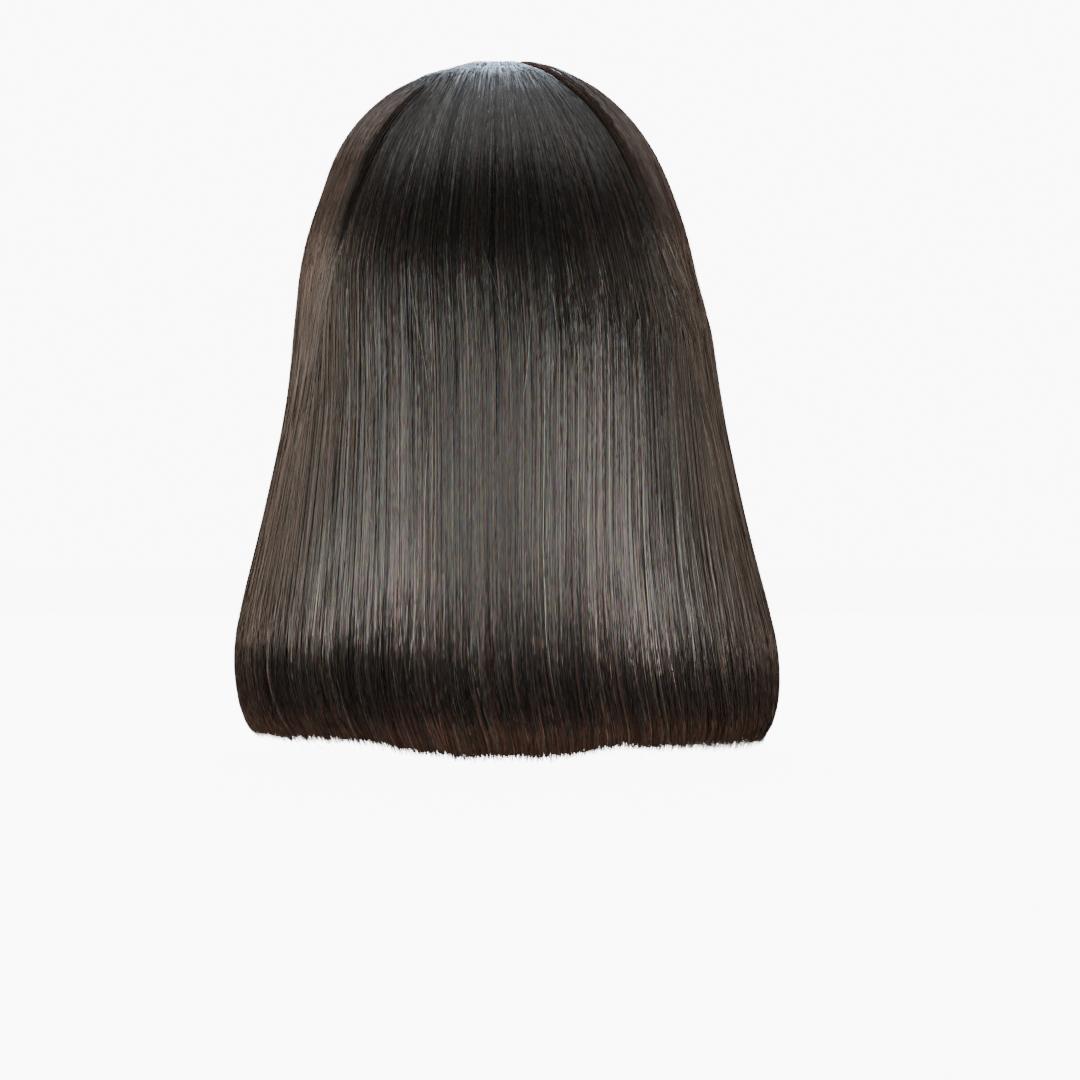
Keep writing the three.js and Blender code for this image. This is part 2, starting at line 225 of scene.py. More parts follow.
# Locks gather over these runs by up to this share. In the hem the ends cross and sweep over these runs, by
# a power of the smooth step; the sweep is a share of the whole for all, and more by the lock.
GATHER_RUNS = (0.9, 2)
GATHER = 0.3
CROSS_RUNS = (1.55, 2.02)
SWEEP_RUNS = (1.78, 2.05)
HEM_POWER = 1.5
SWEEP_ALL = 0.6
SWEEP_LOCK = 0.8

# More strands lie near the surface than deep, by a power. Their widths are these shares of the usual one,
# and their ends taper to a share of that over the last part of their length.
DEPTH_POWER = 1.5
WIDTHS = (0.5, 1.4)
TAPER = 0.4
TAPER_LENGTH = 0.03

# A strand that starts further down has its points closer towards its end, by a power.
CLOSER = 1.35

# Flyaways: the runs that they start at, how much of a run they cover, how far aside and away their ends are
# (spread and greatest), the powers by which they get there, their widths, how much thinner they end, and
# their share of grey.
FLY_STARTS = (0.12, 1.93)
FLY_REACH = (0.05, 0.26)
FLY_ASIDE = math.radians(1.6)
FLY_AWAY = 0.0016
FLY_FURTHEST = 0.006
ASIDE_POWER = 1.3
AWAY_POWER = 1.6
FLY_WIDTHS = (0.3, 0.5)
FLY_THINNER = 0.6
FLY_PALE = 0.5

# Crossing strands: the share of the section that they lie in, the runs that they start at and cover, how
# far they lean and bend, how fast they bend, how high they lie, their widths and their share of grey.
ACROSS_WITHIN = 0.9
ACROSS_STARTS = (0.3, 1.5)
ACROSS_REACH = (0.3, 0.6)
ACROSS_LEAN = math.radians(4.5)
ACROSS_BEND = math.radians(0.6)
ACROSS_TURN = 5
ACROSS_HEIGHT = 0.0006
ACROSS_WIDTHS = (0.35, 0.6)
ACROSS_PALE = 0.9

# How brown a strand is beyond its place: by its lock, by chance, and at its ends, where the brown is a
# painted glow of light shining through the thin ends. The least share of a grey strand's grey.
BROWN_LOCK = 0.12
BROWN_CHANCE = 0.22
ENDS_GLOW_BROWN = 0.85
PALE_LEAST = 0.35

# Runs over which the strands' colours change: where the brown ends start, the lighter ends (both a painted
# glow of light through the thin ends), the end of the crown, the hem's bevel, and the way down to it. The
# lighter roots, a painted sheen, end between the first run and the second, later by the tuft.
ENDS_GLOW_BROWN_RUNS = (1.88, 2.01)
ENDS_GLOW_LIGHT_RUNS = (1.9, 2.01)
CROWN_RUNS = (0.6, 1.2)
LOW_RUNS = (1.6, 1.9)
FALLING_RUNS = (1.35, 1.7)
ROOT_SHEEN_RUNS = (0.03, 0.12)
ROOT_SHEEN_LATER_BY_TUFT = 0.30

# The lightness varies by the exponential of these: by chance everywhere, at the crown, the roots and the
# bevel, by the tuft at the roots and the crown. At the roots the spread is so wide that they come out lighter
# on the whole, in streaks: a painted sheen. It also goes by the lock, from a least share, and is more at the
# ends, a painted glow of light through them.
LIGHT_CHANCE = 0.12
LIGHT_CROWN = 0.20
ROOT_SHEEN_CHANCE = 0.5
LIGHT_LOW = 0.3
ROOT_SHEEN_BY_TUFT = 3.4
TUFT_CROWN = 0.5
LIGHT_LEAST = 0.92
LIGHT_LOCK = 0.16
ENDS_GLOW_LIGHT = 0.4

# How far strands are tilted: by chance, and in the bevel by the lock and for all, and on the way down to
# it.
TILT_CHANCE = 0.13
TILT_LOCK = 0.5
TILT_LOW = 0.27
TILT_FALLING = 0.07

# Brown hair: the angles from straight back between which it sets in on the head, how much these move in the
# fall, how brown it is everywhere, over the sides on the head and in the fall, and more at the hem, and the
# runs between which the angles move, the sides fade and the hem's brown starts. Over the sides the brown is
# partly the hair's warmer tone and partly a painted warm rim light at the silhouettes; at the hem it is
# painted light on the bevel, which faces down.
BROWN_FROM = math.radians(56)
BROWN_TO = math.radians(68)
BROWN_FROM_FALL = -0.04
BROWN_TO_FALL = 0.24
BROWN_ALL = 0.07
SIDES_BROWN_AND_RIM_GLOW_HEAD = 0.60
SIDES_BROWN_AND_RIM_GLOW_FALL = 0.40
BEVEL_PAINTED_LIGHT = 0.2
FALLS_FROM = (0.4, 1.3)
BROWN_FADES = (0.5, 1.5)
BEVEL_PAINTED_LIGHT_RUNS = (1.7, 1.9)

# The lightness that the strand colour's blue stands for at 1, and how far a strand's tilt turns the normal.
LIGHTEST = 4.0
TILT = 0.3

# The angle that one tuft of roots takes up, by how many tufts a strand may join another, and what is added
# to a tuft's number for a second number of its own.
TUFT = math.radians(2.2)
TUFT_STRAY = 0.25
TUFT_OTHER = 50.5

# The flecks: how many a metre, how far they turn the normal, and how much they vary the tint.
FLECK_SCALE = (2600.0, 2600.0, 220.0)
FLECK = 0.26
FLECK_TINT = 1.5

# The hair's roughness, how much less it is by a strand's tilt and by the flecks, and its gloss, which brown
# lessens.
HAIR_ROUGH = 0.44
ROUGH_TILT = 0.12
ROUGH_FLECK = 0.10
HAIR_GLOSS = 0.8
GLOSS_BROWN = 0.65

# The hair under the strands: how much of the dark colour it has, its streaks' scale over the UV map, and
# the stops of their shade.
UNDER_DARK = 0.13
UNDER_STREAKS = (260.0, 3.0, 1.0)
UNDER_SHADE = ((0.35, (0.2, 0.2, 0.2, 1)), (0.7, (1.2, 1.2, 1.2, 1)))

# The nets: the slant of their threads, the distance between the cap's and the lace's, and how sharp the
# cap's threads, the lace's and its knots are. The bright and dark shades of each colour are these multiples
# of it.
THREAD_SLANT = 0.6
NET_PITCH = 0.0021
LACE_PITCH = 0.0011
NET_SHARP = 2.2
LACE_SHARP = 1.8
KNOT_SHARP = 6.0
NET_HOLE = 0.25
NET_BRIGHT = 2.4
LACE_HOLE = 0.42
KNOT_HEIGHT = 1.5

# The band: the distance from rib to rib and from stitch to stitch, how far its rows of stitches are from
# its middle and the two distances from a row between which they fade, the painted shade in the grooves
# between its ribs, and how much brighter its stitches are.
RIB = 0.0008
STITCH = 0.0026
STITCH_ROW = 0.0022
STITCH_FADE = (0.0003, 0.0006)
BAND_GROOVE_SHADE = 0.5
BAND_BRIGHT = 2.6

# The cap's sewn rows of hair: how many, how high they stand, by a power of a sine, the shares of the way
# down that they start and end between, and the room beside them that they need. The rim's length, for the
# net's pattern.
WEFT_ROWS = 9
WEFT_HEIGHT = 0.0008
WEFT_POWER = 0.6
WEFT_STARTS = (0.12, 0.2)
WEFT_ENDS = (0.9, 0.96)
WEFT_ROOM = (0.02, 0.08)
RIM_LENGTH = 0.56

# Half the width and half the height of the tape round the lace panel.
TAPE_HALF = (0.0035, 0.0006)

# The lace's thickness, half the height of the fold at its front edge, and how near to its sides the net
# goes.
LACE_WALL = 0.0006
LACE_FOLD = 0.0025
LACE_WITHIN = 0.9999

# Places in the grids of the cap and of the lace, and along the rim, the fold, the brow and a corner of the
# panel.
CAP_GRID = (151, 61)
LACE_GRID = (41, 61)
RIM_PLACES = 200
FOLD_PLACES = 60
BROW_PLACES = 400
CORNER_PLACES = 12

# The studio: how bright its white shows, how dim it lights, and the floor.
STUDIO_WHITE = (1.0, 1.0, 1.0)
BACKGROUND_GLOW = 10.0
STUDIO_FILL = 0.05
FLOOR_GLOW = 9.5
FLOOR_BELOW = 0.006
FLOOR_HALF = 8.0

# The camera's place, its focal length and its sensor's width in millimetres.
CAMERA_PLACE = (-0.0206, 1.25, -0.2235)
LENS = 85.0
SENSOR = 36.0


def length(name, description, default):
    return FloatProperty(name=name, description=description, default=default, unit="LENGTH", precision=5)


def share(name, description, default):
    return FloatProperty(name=name, description=description, default=default, subtype="FACTOR", min=0, max=1)


def angle(name, description, degrees):
    return FloatProperty(name=name, description=description, default=math.radians(degrees), subtype="ANGLE")


def number(name, description, default):
    return IntProperty(name=name, description=description, default=default, min=0)


def colour(name, description, default):
    return FloatVectorProperty(name=name, description=description, default=default, size=3, subtype="COLOR")


class WigSizes(bpy.types.PropertyGroup):
    """The wig's lengths and angles."""

    head_half_width: length("Head half-width", "Half of the head's breadth inside the cap", 0.081)
    head_half_length: length("Head half-length", "Half of the head's length inside the cap", 0.100)
    head_depth: length("Head depth", "From the crown down to the head's widest level", 0.100)
    cap_wall: length("Cap wall", "Thickness of the net cap", 0.0013)
    rim_wall: length("Rim wall", "Thickness of the cap's bound rim", 0.0024)
    rim_height: length("Rim height", "Height of the cap's bound rim", 0.009)
    panel_width: length("Panel width", "Breadth of the lace panel", 0.052)
    panel_back: length("Panel back", "How far behind the crown the lace panel ends", 0.046)
    panel_corner: length("Panel corner", "Radius of the lace panel's back corners", 0.014)
    hair_clear: length("Hair clearance", "Between the cap and the hair that lies on it", 0.001)
    hair_top: length("Hair at the top", "Thickness of the hair over the crown", 0.0065)
    hair_side: length("Hair at the sides", "Thickness of the hair at the sides", 0.014)
    hair_back: length("Hair at the back", "Thickness of the hair at the back", 0.0155)
    hair_front: length("Hair at the front", "Thickness of the hair at the front", 0.008)
    temple_dip: length("Temple dip", "How much thinner the hair is part-way up the dome", 0.003)
    temple_reach: share("Temple reach", "Height of the dip's end, of the dome's", 0.85)
    shoulder: length("Shoulder", "How much fuller the hair is over the sides of the crown", 0.002)
    shoulder_from: share("Shoulder's start", "Height that the fullness starts at, of the dome's", 0.42)
    shoulder_to: share("Shoulder's end", "Height that the fullness ends at, of the dome's", 0.93)
    fall: length("Fall", "From the head's widest level down to the hem", 0.219)
    hem_half_width: length("Hem half-width", "Greatest half-width, near the hem", 0.133)
    hem_lean: length("Hem lean", "How far the hem hangs to the wearer's right", 0.006)
    hem_thick: length("Hem thickness", "Thickness of the fall at the hem", 0.013)
    nape_thick: length("Nape thickness", "Thickness of the under layer at the hem", 0.008)
    nape_gap: length("Nape gap", "Between the under layer and the back fall", 0.00035)
    tip_reach: length("Tip reach", "How far the longest ends hang past the fall", 0.003)
    parting_gap: length("Parting", "Width of the bare parting", 0.003)
    crown_arc: length("Crown arc", "Radius that the back hair fans out from", 0.0075)
    parting_back: angle("Parting's back end", "Angle behind the crown", 15)
    parting_front: angle("Parting's front end", "Angle before the crown", 46)
    root_thick: length("Root thickness", "Thickness of the hair along the parting", 0.0045)
    root_lift: share("Root lift", "Part of the dome by which the hair has its full thickness", 0.17)
    back_edge: angle("Back section's edge", "Angle from straight back", 60)
    front_edge: angle("Front edge", "Angle from straight back", 142)
    nape_edge: angle("Under layer's edge", "Angle from straight back", 64)
    side_step: length("Side step", "How proud a side section lies over the back one", 0.0010)
    crown_lift: length("Crown lift", "How far the hair stands up beside the parting's back end", 0.0022)
    crest: length("Crest", "How far the back section's roots stand up at the parting's end", 0.0052)
    edge_drift: angle("Edge drift", "How far a side section lies over the back one on the head", 8)
    edge_open: angle("Edge opening", "How far it draws back from it lower down", 5)
    edge_sink: length("Edge sink", "How far the back section goes down under the side ones", 0.0005)
    edge_thin: angle("Thinned edge", "Angle over which the front edge gets thin", 14)
    edge_share: share("Edge share", "Thickness of the front edge, of the whole", 0.38)


class WigHair(bpy.types.PropertyGroup):
    """The strands: how many there are, how wide, and how they stray."""

    back_strands: number("Back strands", "Whole strands in the back section", 4000)
    side_strands: number("Side strands", "Whole strands in a side section", 2900)
    joining: number("Joining strands", "Strands that start further down", 2400)
    tips: number("Tips", "Short strands in a section's hem", 2200)
    crossing: number("Crossing strands", "Strands that lie across the others", 26)
    flyaways: number("Flyaways", "Loose ends outside a section", 320)
    strand_width: length("Strand width", "Width of a strand's ribbon", 0.00040)
    roll: angle("Roll", "Spread of the angles that strands are rolled to", 10)
    drift: angle("Drift", "How far a strand wanders sideways", 0.42)
    hem_cross: angle("Hem crossing", "How far ends lean across each other", 1.3)
    hem_sweep: angle("Hem sweep", "How far the ends lean to the wearer's right", 4)
    lock: angle("Lock", "Angle that one lock of hair takes up", 0.5)
    ridge: length("Ridge", "Height of the locks' ridges near the hem", 0.0003)
    uneven: length("Uneven ends", "Spread of the strands' lengths", 0.0024)


class WigColours(bpy.types.PropertyGroup):
    """The wig's colours."""

    dark: colour("Dark hair", "Most of the strands", (0.0425, 0.0415, 0.0395))
    # Brown is also used for painted light: a warm rim light over the sides, light on the bevel and a glow
    # through the ends.
    brown: colour("Brown hair", "The warm strands", (0.094, 0.049, 0.034))
    grey: colour("Grey hair", "The pale strands", (0.078, 0.079, 0.068))
    lace: colour("Lace", "The parting's lace", (0.58, 0.41, 0.30))
    knot: colour("Knots", "The knots that tie the hair to the lace", (0.045, 0.028, 0.020))
    net: colour("Net", "The cap's net", (0.016, 0.013, 0.012))
    band: colour("Band", "The cap's bound rim and tape", (0.022, 0.018, 0.017))
    floor: colour("Floor", "The floor", (0.80, 0.79, 0.77))


class Value:
    """A value in a material. Arithmetic on it adds Math nodes."""

    def __init__(self, shader, socket):
        self.shader = shader
        self.socket = socket

    def output(self, name):
        return Value(self.shader, self.socket.node.outputs[name])

    def _maths(self, operation, first, second):
        return self.shader.node("ShaderNodeMath", {"operation": operation}, {0: first, 1: second})

    def __add__(self, other):
        return self._maths("ADD", self, other)

    def __radd__(self, other):
        return self._maths("ADD", other, self)

    def __sub__(self, other):
        return self._maths("SUBTRACT", self, other)

    def __rsub__(self, other):
        return self._maths("SUBTRACT", other, self)

    def __mul__(self, other):
        return self._maths("MULTIPLY", self, other)

    def __rmul__(self, other):
        return self._maths("MULTIPLY", other, self)

    def __truediv__(self, other):
        return self._maths("DIVIDE", self, other)

    def __pow__(self, other):
        return self._maths("POWER", self, other)

    def maths(self, operation):
        """A Math node that takes this value alone, such as SINE or FRACT."""
        return self.shader.node("ShaderNodeMath", {"operation": operation}, {0: self})


class Shader:
    """A material under construction: one method adds any node, and the last one ends it with a Principled
    surface."""

    def __init__(self, name):
        self.material = bpy.data.materials.new(name)
        self.material.use_nodes = True
        self.tree = self.material.node_tree
        self.tree.nodes.clear()

    def node(self, kind, settings=None, inputs=None, output=0):
        made = self.tree.nodes.new(kind)
        for key, setting in (settings or {}).items():
            if key == "stops":
                self._set_stops(made.color_ramp.elements, setting)
            else:
                setattr(made, key, setting)
        for key, given in (inputs or {}).items():
            if isinstance(given, Value):
                self.tree.links.new(given.socket, made.inputs[key])
            else:
                made.inputs[key].default_value = given
        return Value(self, made.outputs[output])

    def _set_stops(self, elements, stops):
        while len(elements) < len(stops):
            elements.new(0.5)
        for element, (place, colour) in zip(elements, stops):
            element.position = place
            element.color = colour

    def mix(self, factor, first, second, blend="MIX"):
        """Two colours mixed by a factor. The colour sockets are the node's seventh and eighth, and its
        third output."""
        settings = {"data_type": "RGBA", "blend_type": blend}
        return self.node("ShaderNodeMix", settings, {0: factor, 6: first, 7: second}, 2)

    def surface(self, **inputs):
        """Ends the material with a Principled surface that has these inputs."""
        named = {key.replace("_", " ").title(): given for key, given in inputs.items()}
        if "Ior Level" in named:
            named["Specular IOR Level"] = named.pop("Ior Level")
        finish = self.node("ShaderNodeBsdfPrincipled", inputs=named)
        shown = self.tree.nodes.new("ShaderNodeOutputMaterial")
        self.tree.links.new(finish.socket, shown.inputs["Surface"])
        return self.material


def rgba(colour, share=1.0):
    """A colour times a share, with an alpha of 1."""
    return (*(share * part for part in colour), 1.0)


# Shapes

def unit(vectors):
    """Each vector divided by its own length."""
    return vectors / np.maximum(np.linalg.norm(vectors, axis=-1, keepdims=True), 1e-12)


def lerp(a, b, share):
    return a + (b - a) * share


def smooth(x, low, high):
    """The cubic step from 0 at low to 1 at high: 3t squared less 2t cubed."""
    t = np.clip((x - low) / (high - low), 0, 1)
    return t * t * (3 - 2 * t)


def through(rows, columns, column, at):
    """A smooth curve through a table's rows: cubic Hermite pieces with the slope between each row's
    neighbours."""
    x = rows[:, 0]
    y = rows[:, columns.index(column)]
    around_x = np.concatenate([x[:1], x, x[-1:]])
    around_y = np.concatenate([y[:1], y, y[-1:]])
    slope = (around_y[2:] - around_y[:-2]) / (around_x[2:] - around_x[:-2])
    at = np.clip(at, x[0], x[-1])
    i = np.clip(np.searchsorted(x, at, side="right") - 1, 0, len(x) - 2)
    span = x[i + 1] - x[i]
    t = (at - x[i]) / span
    return (
        (2 * t**3 - 3 * t**2 + 1) * y[i]
        + (t**3 - 2 * t**2 + t) * span * slope[i]
        + (3 * t**2 - 2 * t**3) * y[i + 1]
        + (t**3 - t**2) * span * slope[i + 1]
    )


def on_sphere(x, y):
    """The upward unit vector with these level parts."""
    return np.stack([x, y, np.sqrt(np.maximum(0, 1 - x * x - y * y))], axis=-1)


def fall_direction(angle):
    """The level unit vector at an angle from straight back: its sine across and its cosine backwards."""
    return np.stack([np.sin(angle), np.cos(angle), np.zeros_like(angle)], axis=-1)


def root_direction(sizes, angle):
    """Where a strand's root is, as a direction from the head's middle: on the crown arc for the back
    section, and along the parting for the sides, whose angles share it out evenly from its back end to its
    front end."""
    size = np.abs(angle)
    side = np.where(angle < 0, -1.0, 1.0)
    turn = angle / sizes.back_edge * math.pi / 2
    arc = sizes.crown_arc / sizes.head_half_width
    wider = np.where(angle > 0, CROWN_WIDER, 1.0)
    back = on_sphere(arc * wider * np.sin(turn), math.sin(sizes.parting_back) + arc * np.cos(turn))
    share = np.clip((size - sizes.back_edge) / (sizes.front_edge - sizes.back_edge), 0, 1)
    lean = lerp(sizes.parting_back, -sizes.parting_front, share)
    aside = lerp(sizes.crown_arc * wider, sizes.parting_gap / 2, smooth(share, 0, CROWN_SHARE))
    sides = on_sphere(side * aside / sizes.head_half_width, np.sin(lean))
    return np.where((size <= sizes.back_edge)[..., None], back, sides)


def between(a, b, share):
    """The direction at a share of the way round the great circle from a to b."""
    angle = np.arccos(np.clip(np.sum(a * b, axis=-1), -1, 1))
    first = np.sin((1 - share) * angle) / np.sin(angle)
    second = np.sin(share * angle) / np.sin(angle)
    return first[..., None] * a + second[..., None] * b


def on_dome(sizes, direction, side, back, front, top):
    """The head's ellipsoid, grown by these amounts at the side, back, front and top, in a direction from
    its middle."""
    length = sizes.head_half_length + np.where(direction[..., 1] > 0, back, front)
    return np.stack([
        direction[..., 0] * (sizes.head_half_width + side),
        direction[..., 1] * length,
        direction[..., 2] * (sizes.head_depth + top) - sizes.head_depth,
    ], axis=-1)


def edge_share(sizes, angle):
    """How thin a side section is near its front edge: 1 less a square that ends at the edge's share."""
    into = (np.abs(angle) - (sizes.front_edge - sizes.edge_thin)) / sizes.edge_thin
    return lerp(1, sizes.edge_share, np.clip(into, 0, 1) ** 2)


def dome_point(sizes, angle, share, inward):
    """A point of the hair over the head: on the great circle from the root to the widest level, and so far
    in from the outer surface to the inner one. Both are ellipsoids, and the outer one dips at the temples
    and thins at the roots and at the front edge. Also gives the outward direction."""
    direction = between(root_direction(sizes, angle), fall_direction(angle), share)
    off = sizes.cap_wall + sizes.hair_clear
    inside = on_dome(sizes, direction, off, off, off, off)
    outside = on_dome(sizes, direction, off + sizes.hair_side, off + sizes.hair_back, off + sizes.hair_front,
                      off + sizes.hair_top)
    outward = unit(outside - inside)
    height = direction[..., 2]
    dip = sizes.temple_dip * np.sin(math.pi * np.minimum(1, height / sizes.temple_reach))
    above = np.clip((height - sizes.shoulder_from) / (sizes.shoulder_to - sizes.shoulder_from), 0, 1)
    by_side = smooth(np.abs(angle), sizes.back_edge / 2, sizes.back_edge)
    leaning = np.where(angle > 0, 1 + SHOULDER_LEAN, 1 - SHOULDER_LEAN)
    full = np.linalg.norm(outside - inside, axis=-1) - dip
    full = full + sizes.shoulder * np.sin(math.pi * above) * by_side * leaning
    thick = lerp(sizes.root_thick, full * edge_share(sizes, angle), smooth(share, 0, sizes.root_lift))
    return inside + outward * (thick * (1 - inward))[..., None], outward


def fall_section(sizes, drop):
    """The half-width, depths, thicknesses, centre and level of the fall at a share of the way down."""
    def value(column):
        return through(FALL_ROWS, FALL_COLUMNS, column, drop)
    off = sizes.cap_wall + sizes.hair_clear
    dome_half_width = sizes.head_half_width + off + sizes.hair_side
    thick = value("thick")
    return {
        "half_width": lerp(dome_half_width, sizes.hem_half_width, value("flare")),
        "back": (sizes.head_half_length + off + sizes.hair_back) * value("back"),
        "front": (sizes.head_half_length + off + sizes.hair_front) * value("front"),
        "side_thick": lerp(sizes.hair_side, sizes.hem_thick, thick),
        "back_thick": lerp(sizes.hair_back, sizes.hem_thick, thick),
        "front_thick": lerp(sizes.hair_front, sizes.hem_thick, thick),
        "centre": -sizes.hem_lean * value("lean"),
        "level": -sizes.head_depth - sizes.fall * drop,
    }


def on_fall(angle, section, inward):
    """A point of the fall: an ellipse at each level, so far in from its outer edge to its inner one."""
    direction = fall_direction(angle)
    depth = np.where(
        direction[..., 1] > 0,
        section["back"] - inward * section["back_thick"],
        section["front"] - inward * section["front_thick"],
    )
    across = section["half_width"] - inward * section["side_thick"]
    x = section["centre"] + direction[..., 0] * across
    return np.stack([x, direction[..., 1] * depth, section["level"]], axis=-1)


def fall_point(sizes, angle, drop, inward):
    """A point of the hair below the widest level. A thin front edge is drawn in from outside where it
    leaves the dome, and lies midway below. Strands hang straighter than the flare: they move in by the sine
    of twice their angle. Also gives the outward direction."""
    section = fall_section(sizes, drop)
    thinned = 1 - edge_share(sizes, angle)
    angle = angle - HANG * smooth(drop, 0, HUNG) * np.sin(2 * np.clip(angle, -math.pi / 2, math.pi / 2))
    settled = smooth(drop, 0, FALL_ROWS[2, 0])
    first = thinned * lerp(1, 0.5, settled)
    last = 1 - thinned * lerp(0, 0.5, settled)
    surface = on_fall(angle, section, np.zeros_like(angle))
    outward = unit(surface - on_fall(angle, section, np.ones_like(angle)))
    return on_fall(angle, section, lerp(first, last, inward)), outward


def hair_point(sizes, angle, run, inward, raised):
    """A point of a section of hair. run is 0 at the root, 1 at the widest level and 2 at the hem; inward is
    0 on the outer surface and 1 on the inner one; raised is added outwards. Also gives the outward
    direction."""
    share = np.clip(run, 0, 1)
    dome, dome_out = dome_point(sizes, angle, share, inward)
    fall, fall_out = fall_point(sizes, angle, np.maximum(run - 1, 0), inward)
    above = (run < 1)[..., None]
    outward = np.where(above, dome_out, fall_out)
    lift = raised * lerp(ROOT_RAISED, 1, smooth(share, 0, ROOT_RISE))
    return np.where(above, dome, fall) + outward * lift[..., None], outward


def nape_point(sizes, angle, run, inward, raised):
    """A point of the under layer. run counts as it does on the sections. Its outer side lies just inside
    the back fall; its inner side lies on the cap, and below the rim swings out to the layer's own
    thickness."""
    drop = np.maximum(run - 1, 0)
    section = fall_section(sizes, drop)
    back_inside = on_fall(angle, section, np.ones_like(angle))
    level = back_inside - np.stack([section["centre"], 0 * drop, section["level"]], axis=-1)
    reach = np.linalg.norm(level, axis=-1) - sizes.nape_gap
    outward = unit(level)
    rim = RIM_ROWS[0, 1] * sizes.head_depth
    seated = np.minimum(rim, drop * sizes.fall)
    off = sizes.cap_wall + sizes.hair_clear
    rounding = np.sqrt(1 - (seated / (sizes.head_depth + off)) ** 2)
    half_width = (sizes.head_half_width + off) * rounding
    half_length = (sizes.head_half_length + off) * rounding
    cap = 1 / np.hypot(outward[..., 0] / half_width, outward[..., 1] / half_length)
    swung = smooth(drop * sizes.fall, rim, NAPE_FREE * sizes.fall)
    inner = lerp(cap, reach - sizes.nape_thick, swung)
    distance = lerp(reach, inner, inward) + raised
    lean = section["centre"] * lerp(1, swung, inward)
    centre = np.stack([lean, 0 * drop, section["level"]], axis=-1)
    return centre + outward * distance[..., None], outward


def crest_height(sizes, run):
    """How far the hair stands up behind the parting's end at a run."""
    return sizes.crest * (1 - smooth(run, *CREST_RUNS))


def side_point(edge):
    """The points of a side section. By its edge it stands proud of the back one, lies over it and is turned
    towards it on the head, and draws back from it in the fall; beside the parting's back end it stands up
    in a tuft."""
    def point(sizes, angle, run, inward, raised):
        size = np.abs(angle)
        by_edge = 1 - smooth(size, sizes.back_edge, sizes.back_edge + EDGE_REACH)
        lip = lerp(LIP_LEAST, 1.0, smooth(size, sizes.back_edge, sizes.back_edge + EDGE_LIP))
        over = smooth(run, edge.start, edge.start + OVER_RISE) * (1 - smooth(run, *OVER_ENDS))
        over = over * sizes.edge_drift * edge.drift
        away = smooth(run, *OPENS) * sizes.edge_open * edge.step
        moved = np.sign(angle) * (size + by_edge * (away - over))
        step = sizes.side_step * by_edge * (1 - smooth(run, *STEP_ENDS)) * edge.step
        tuft = smooth(run, *TUFT_RISES) * (1 - smooth(run, *TUFT_ENDS)) * by_edge
        ending = 1 - smooth(size, sizes.back_edge, sizes.back_edge + CREST_REACH)
        crest = crest_height(sizes, run) * ending * edge.crest
        lift = sizes.crown_lift * tuft * edge.tuft
        points, outward = hair_point(sizes, moved, run, inward, raised + crest + (step + lift) * lip)
        nearer, _ = hair_point(sizes, moved - np.sign(angle) * EDGE_LIP, run, inward, raised)
        turned = 1 - smooth(size, sizes.back_edge, sizes.back_edge + 2 * EDGE_LIP)
        turned = turned * (1 - smooth(run, *TURN_ENDS))
        return points, unit(outward + unit(nearer - points) * (EDGE_TURN * turned)[..., None])
    return point


def back_point(sizes, angle, run, inward, raised):
    """The points of the back section, which goes down under the side ones at its edges and crests at its
    roots."""
    size = np.abs(angle)
    under = smooth(size, sizes.back_edge - sizes.edge_drift * UNDER_FROM, sizes.back_edge)
    under = under * (1 - smooth(run, *UNDER_ENDS)) * np.where(angle < 0, RIGHT.step, LEFT.step)
    by_edge = smooth(size, sizes.back_edge - CREST_FADE, sizes.back_edge)
    crest = crest_height(sizes, run) * lerp(1, np.where(angle < 0, RIGHT.crest, LEFT.crest), by_edge)
    sunk = sizes.edge_sink * under * smooth(run, *UNDER_STARTS)
    return hair_point(sizes, angle, run, inward, raised + crest - sunk)


def narrower(sizes, share):
    """The same sizes, with a crown arc that is this share as wide."""
    same = SimpleNamespace(**{name: getattr(sizes, name) for name in WigSizes.__annotations__})
    same.crown_arc = sizes.crown_arc * share
    return same


def rim_direction(angle):
    """The direction of the cap's lower rim at an angle from straight back: its height is the table's drop,
    and the rest of the unit vector is level."""
    drop = through(RIM_ROWS, RIM_COLUMNS, "drop", np.degrees(np.abs(angle)))
    level = np.sqrt(1 - drop * drop)
    return np.stack([np.sin(angle) * level, np.cos(angle) * level, -drop], axis=-1)


def brow_angle(sizes, half):
    """The angle of the rim's point that is so far to the side of the middle, at the brow."""
    angle = np.linspace(math.pi, math.pi / 2, BROW_PLACES)
    across = rim_direction(angle)[:, 0] * sizes.head_half_width
    return float(np.interp(half, across, angle))


def panel_outline(sizes, grow, count):
    """Points along the lace panel's edge as directions, from the brow on the left, round the two back
    corners, to the brow on the right: straight sides, quarter circles and a straight back, resampled at
    even lengths."""
    half = sizes.panel_width / 2 + grow
    back = sizes.panel_back + grow
    corner = sizes.panel_corner + grow
    front = rim_direction(np.array([brow_angle(sizes, half)]))[0, 1] * sizes.head_half_length
    turn = np.linspace(0, math.pi / 2, CORNER_PLACES)
    round_x = half - corner + corner * np.cos(turn)
    round_y = back - corner + corner * np.sin(turn)
    x = np.concatenate([[half], round_x, -round_x[::-1], [-half]])
    y = np.concatenate([[front], round_y, round_y[::-1], [front]])
    along = np.concatenate([[0], np.cumsum(np.hypot(np.diff(x), np.diff(y)))])
    even = np.linspace(0, along[-1], count)
    return on_sphere(np.interp(even, along, x) / sizes.head_half_width,
                     np.interp(even, along, y) / sizes.head_half_length)


def off_head(sizes, direction, off):
    """The point in a direction on the head grown evenly by an offset."""
    off = off * np.ones(direction.shape[:-1])
    return on_dome(sizes, direction, off, off, off, off)


def path_frame(points, outward):
    """The unit vectors along a path, across it and outwards from it, each square to the others."""
    along = unit(np.gradient(points, axis=0))
    across = unit(np.cross(along, outward))
    return along, across, unit(np.cross(across, along))


# Meshes

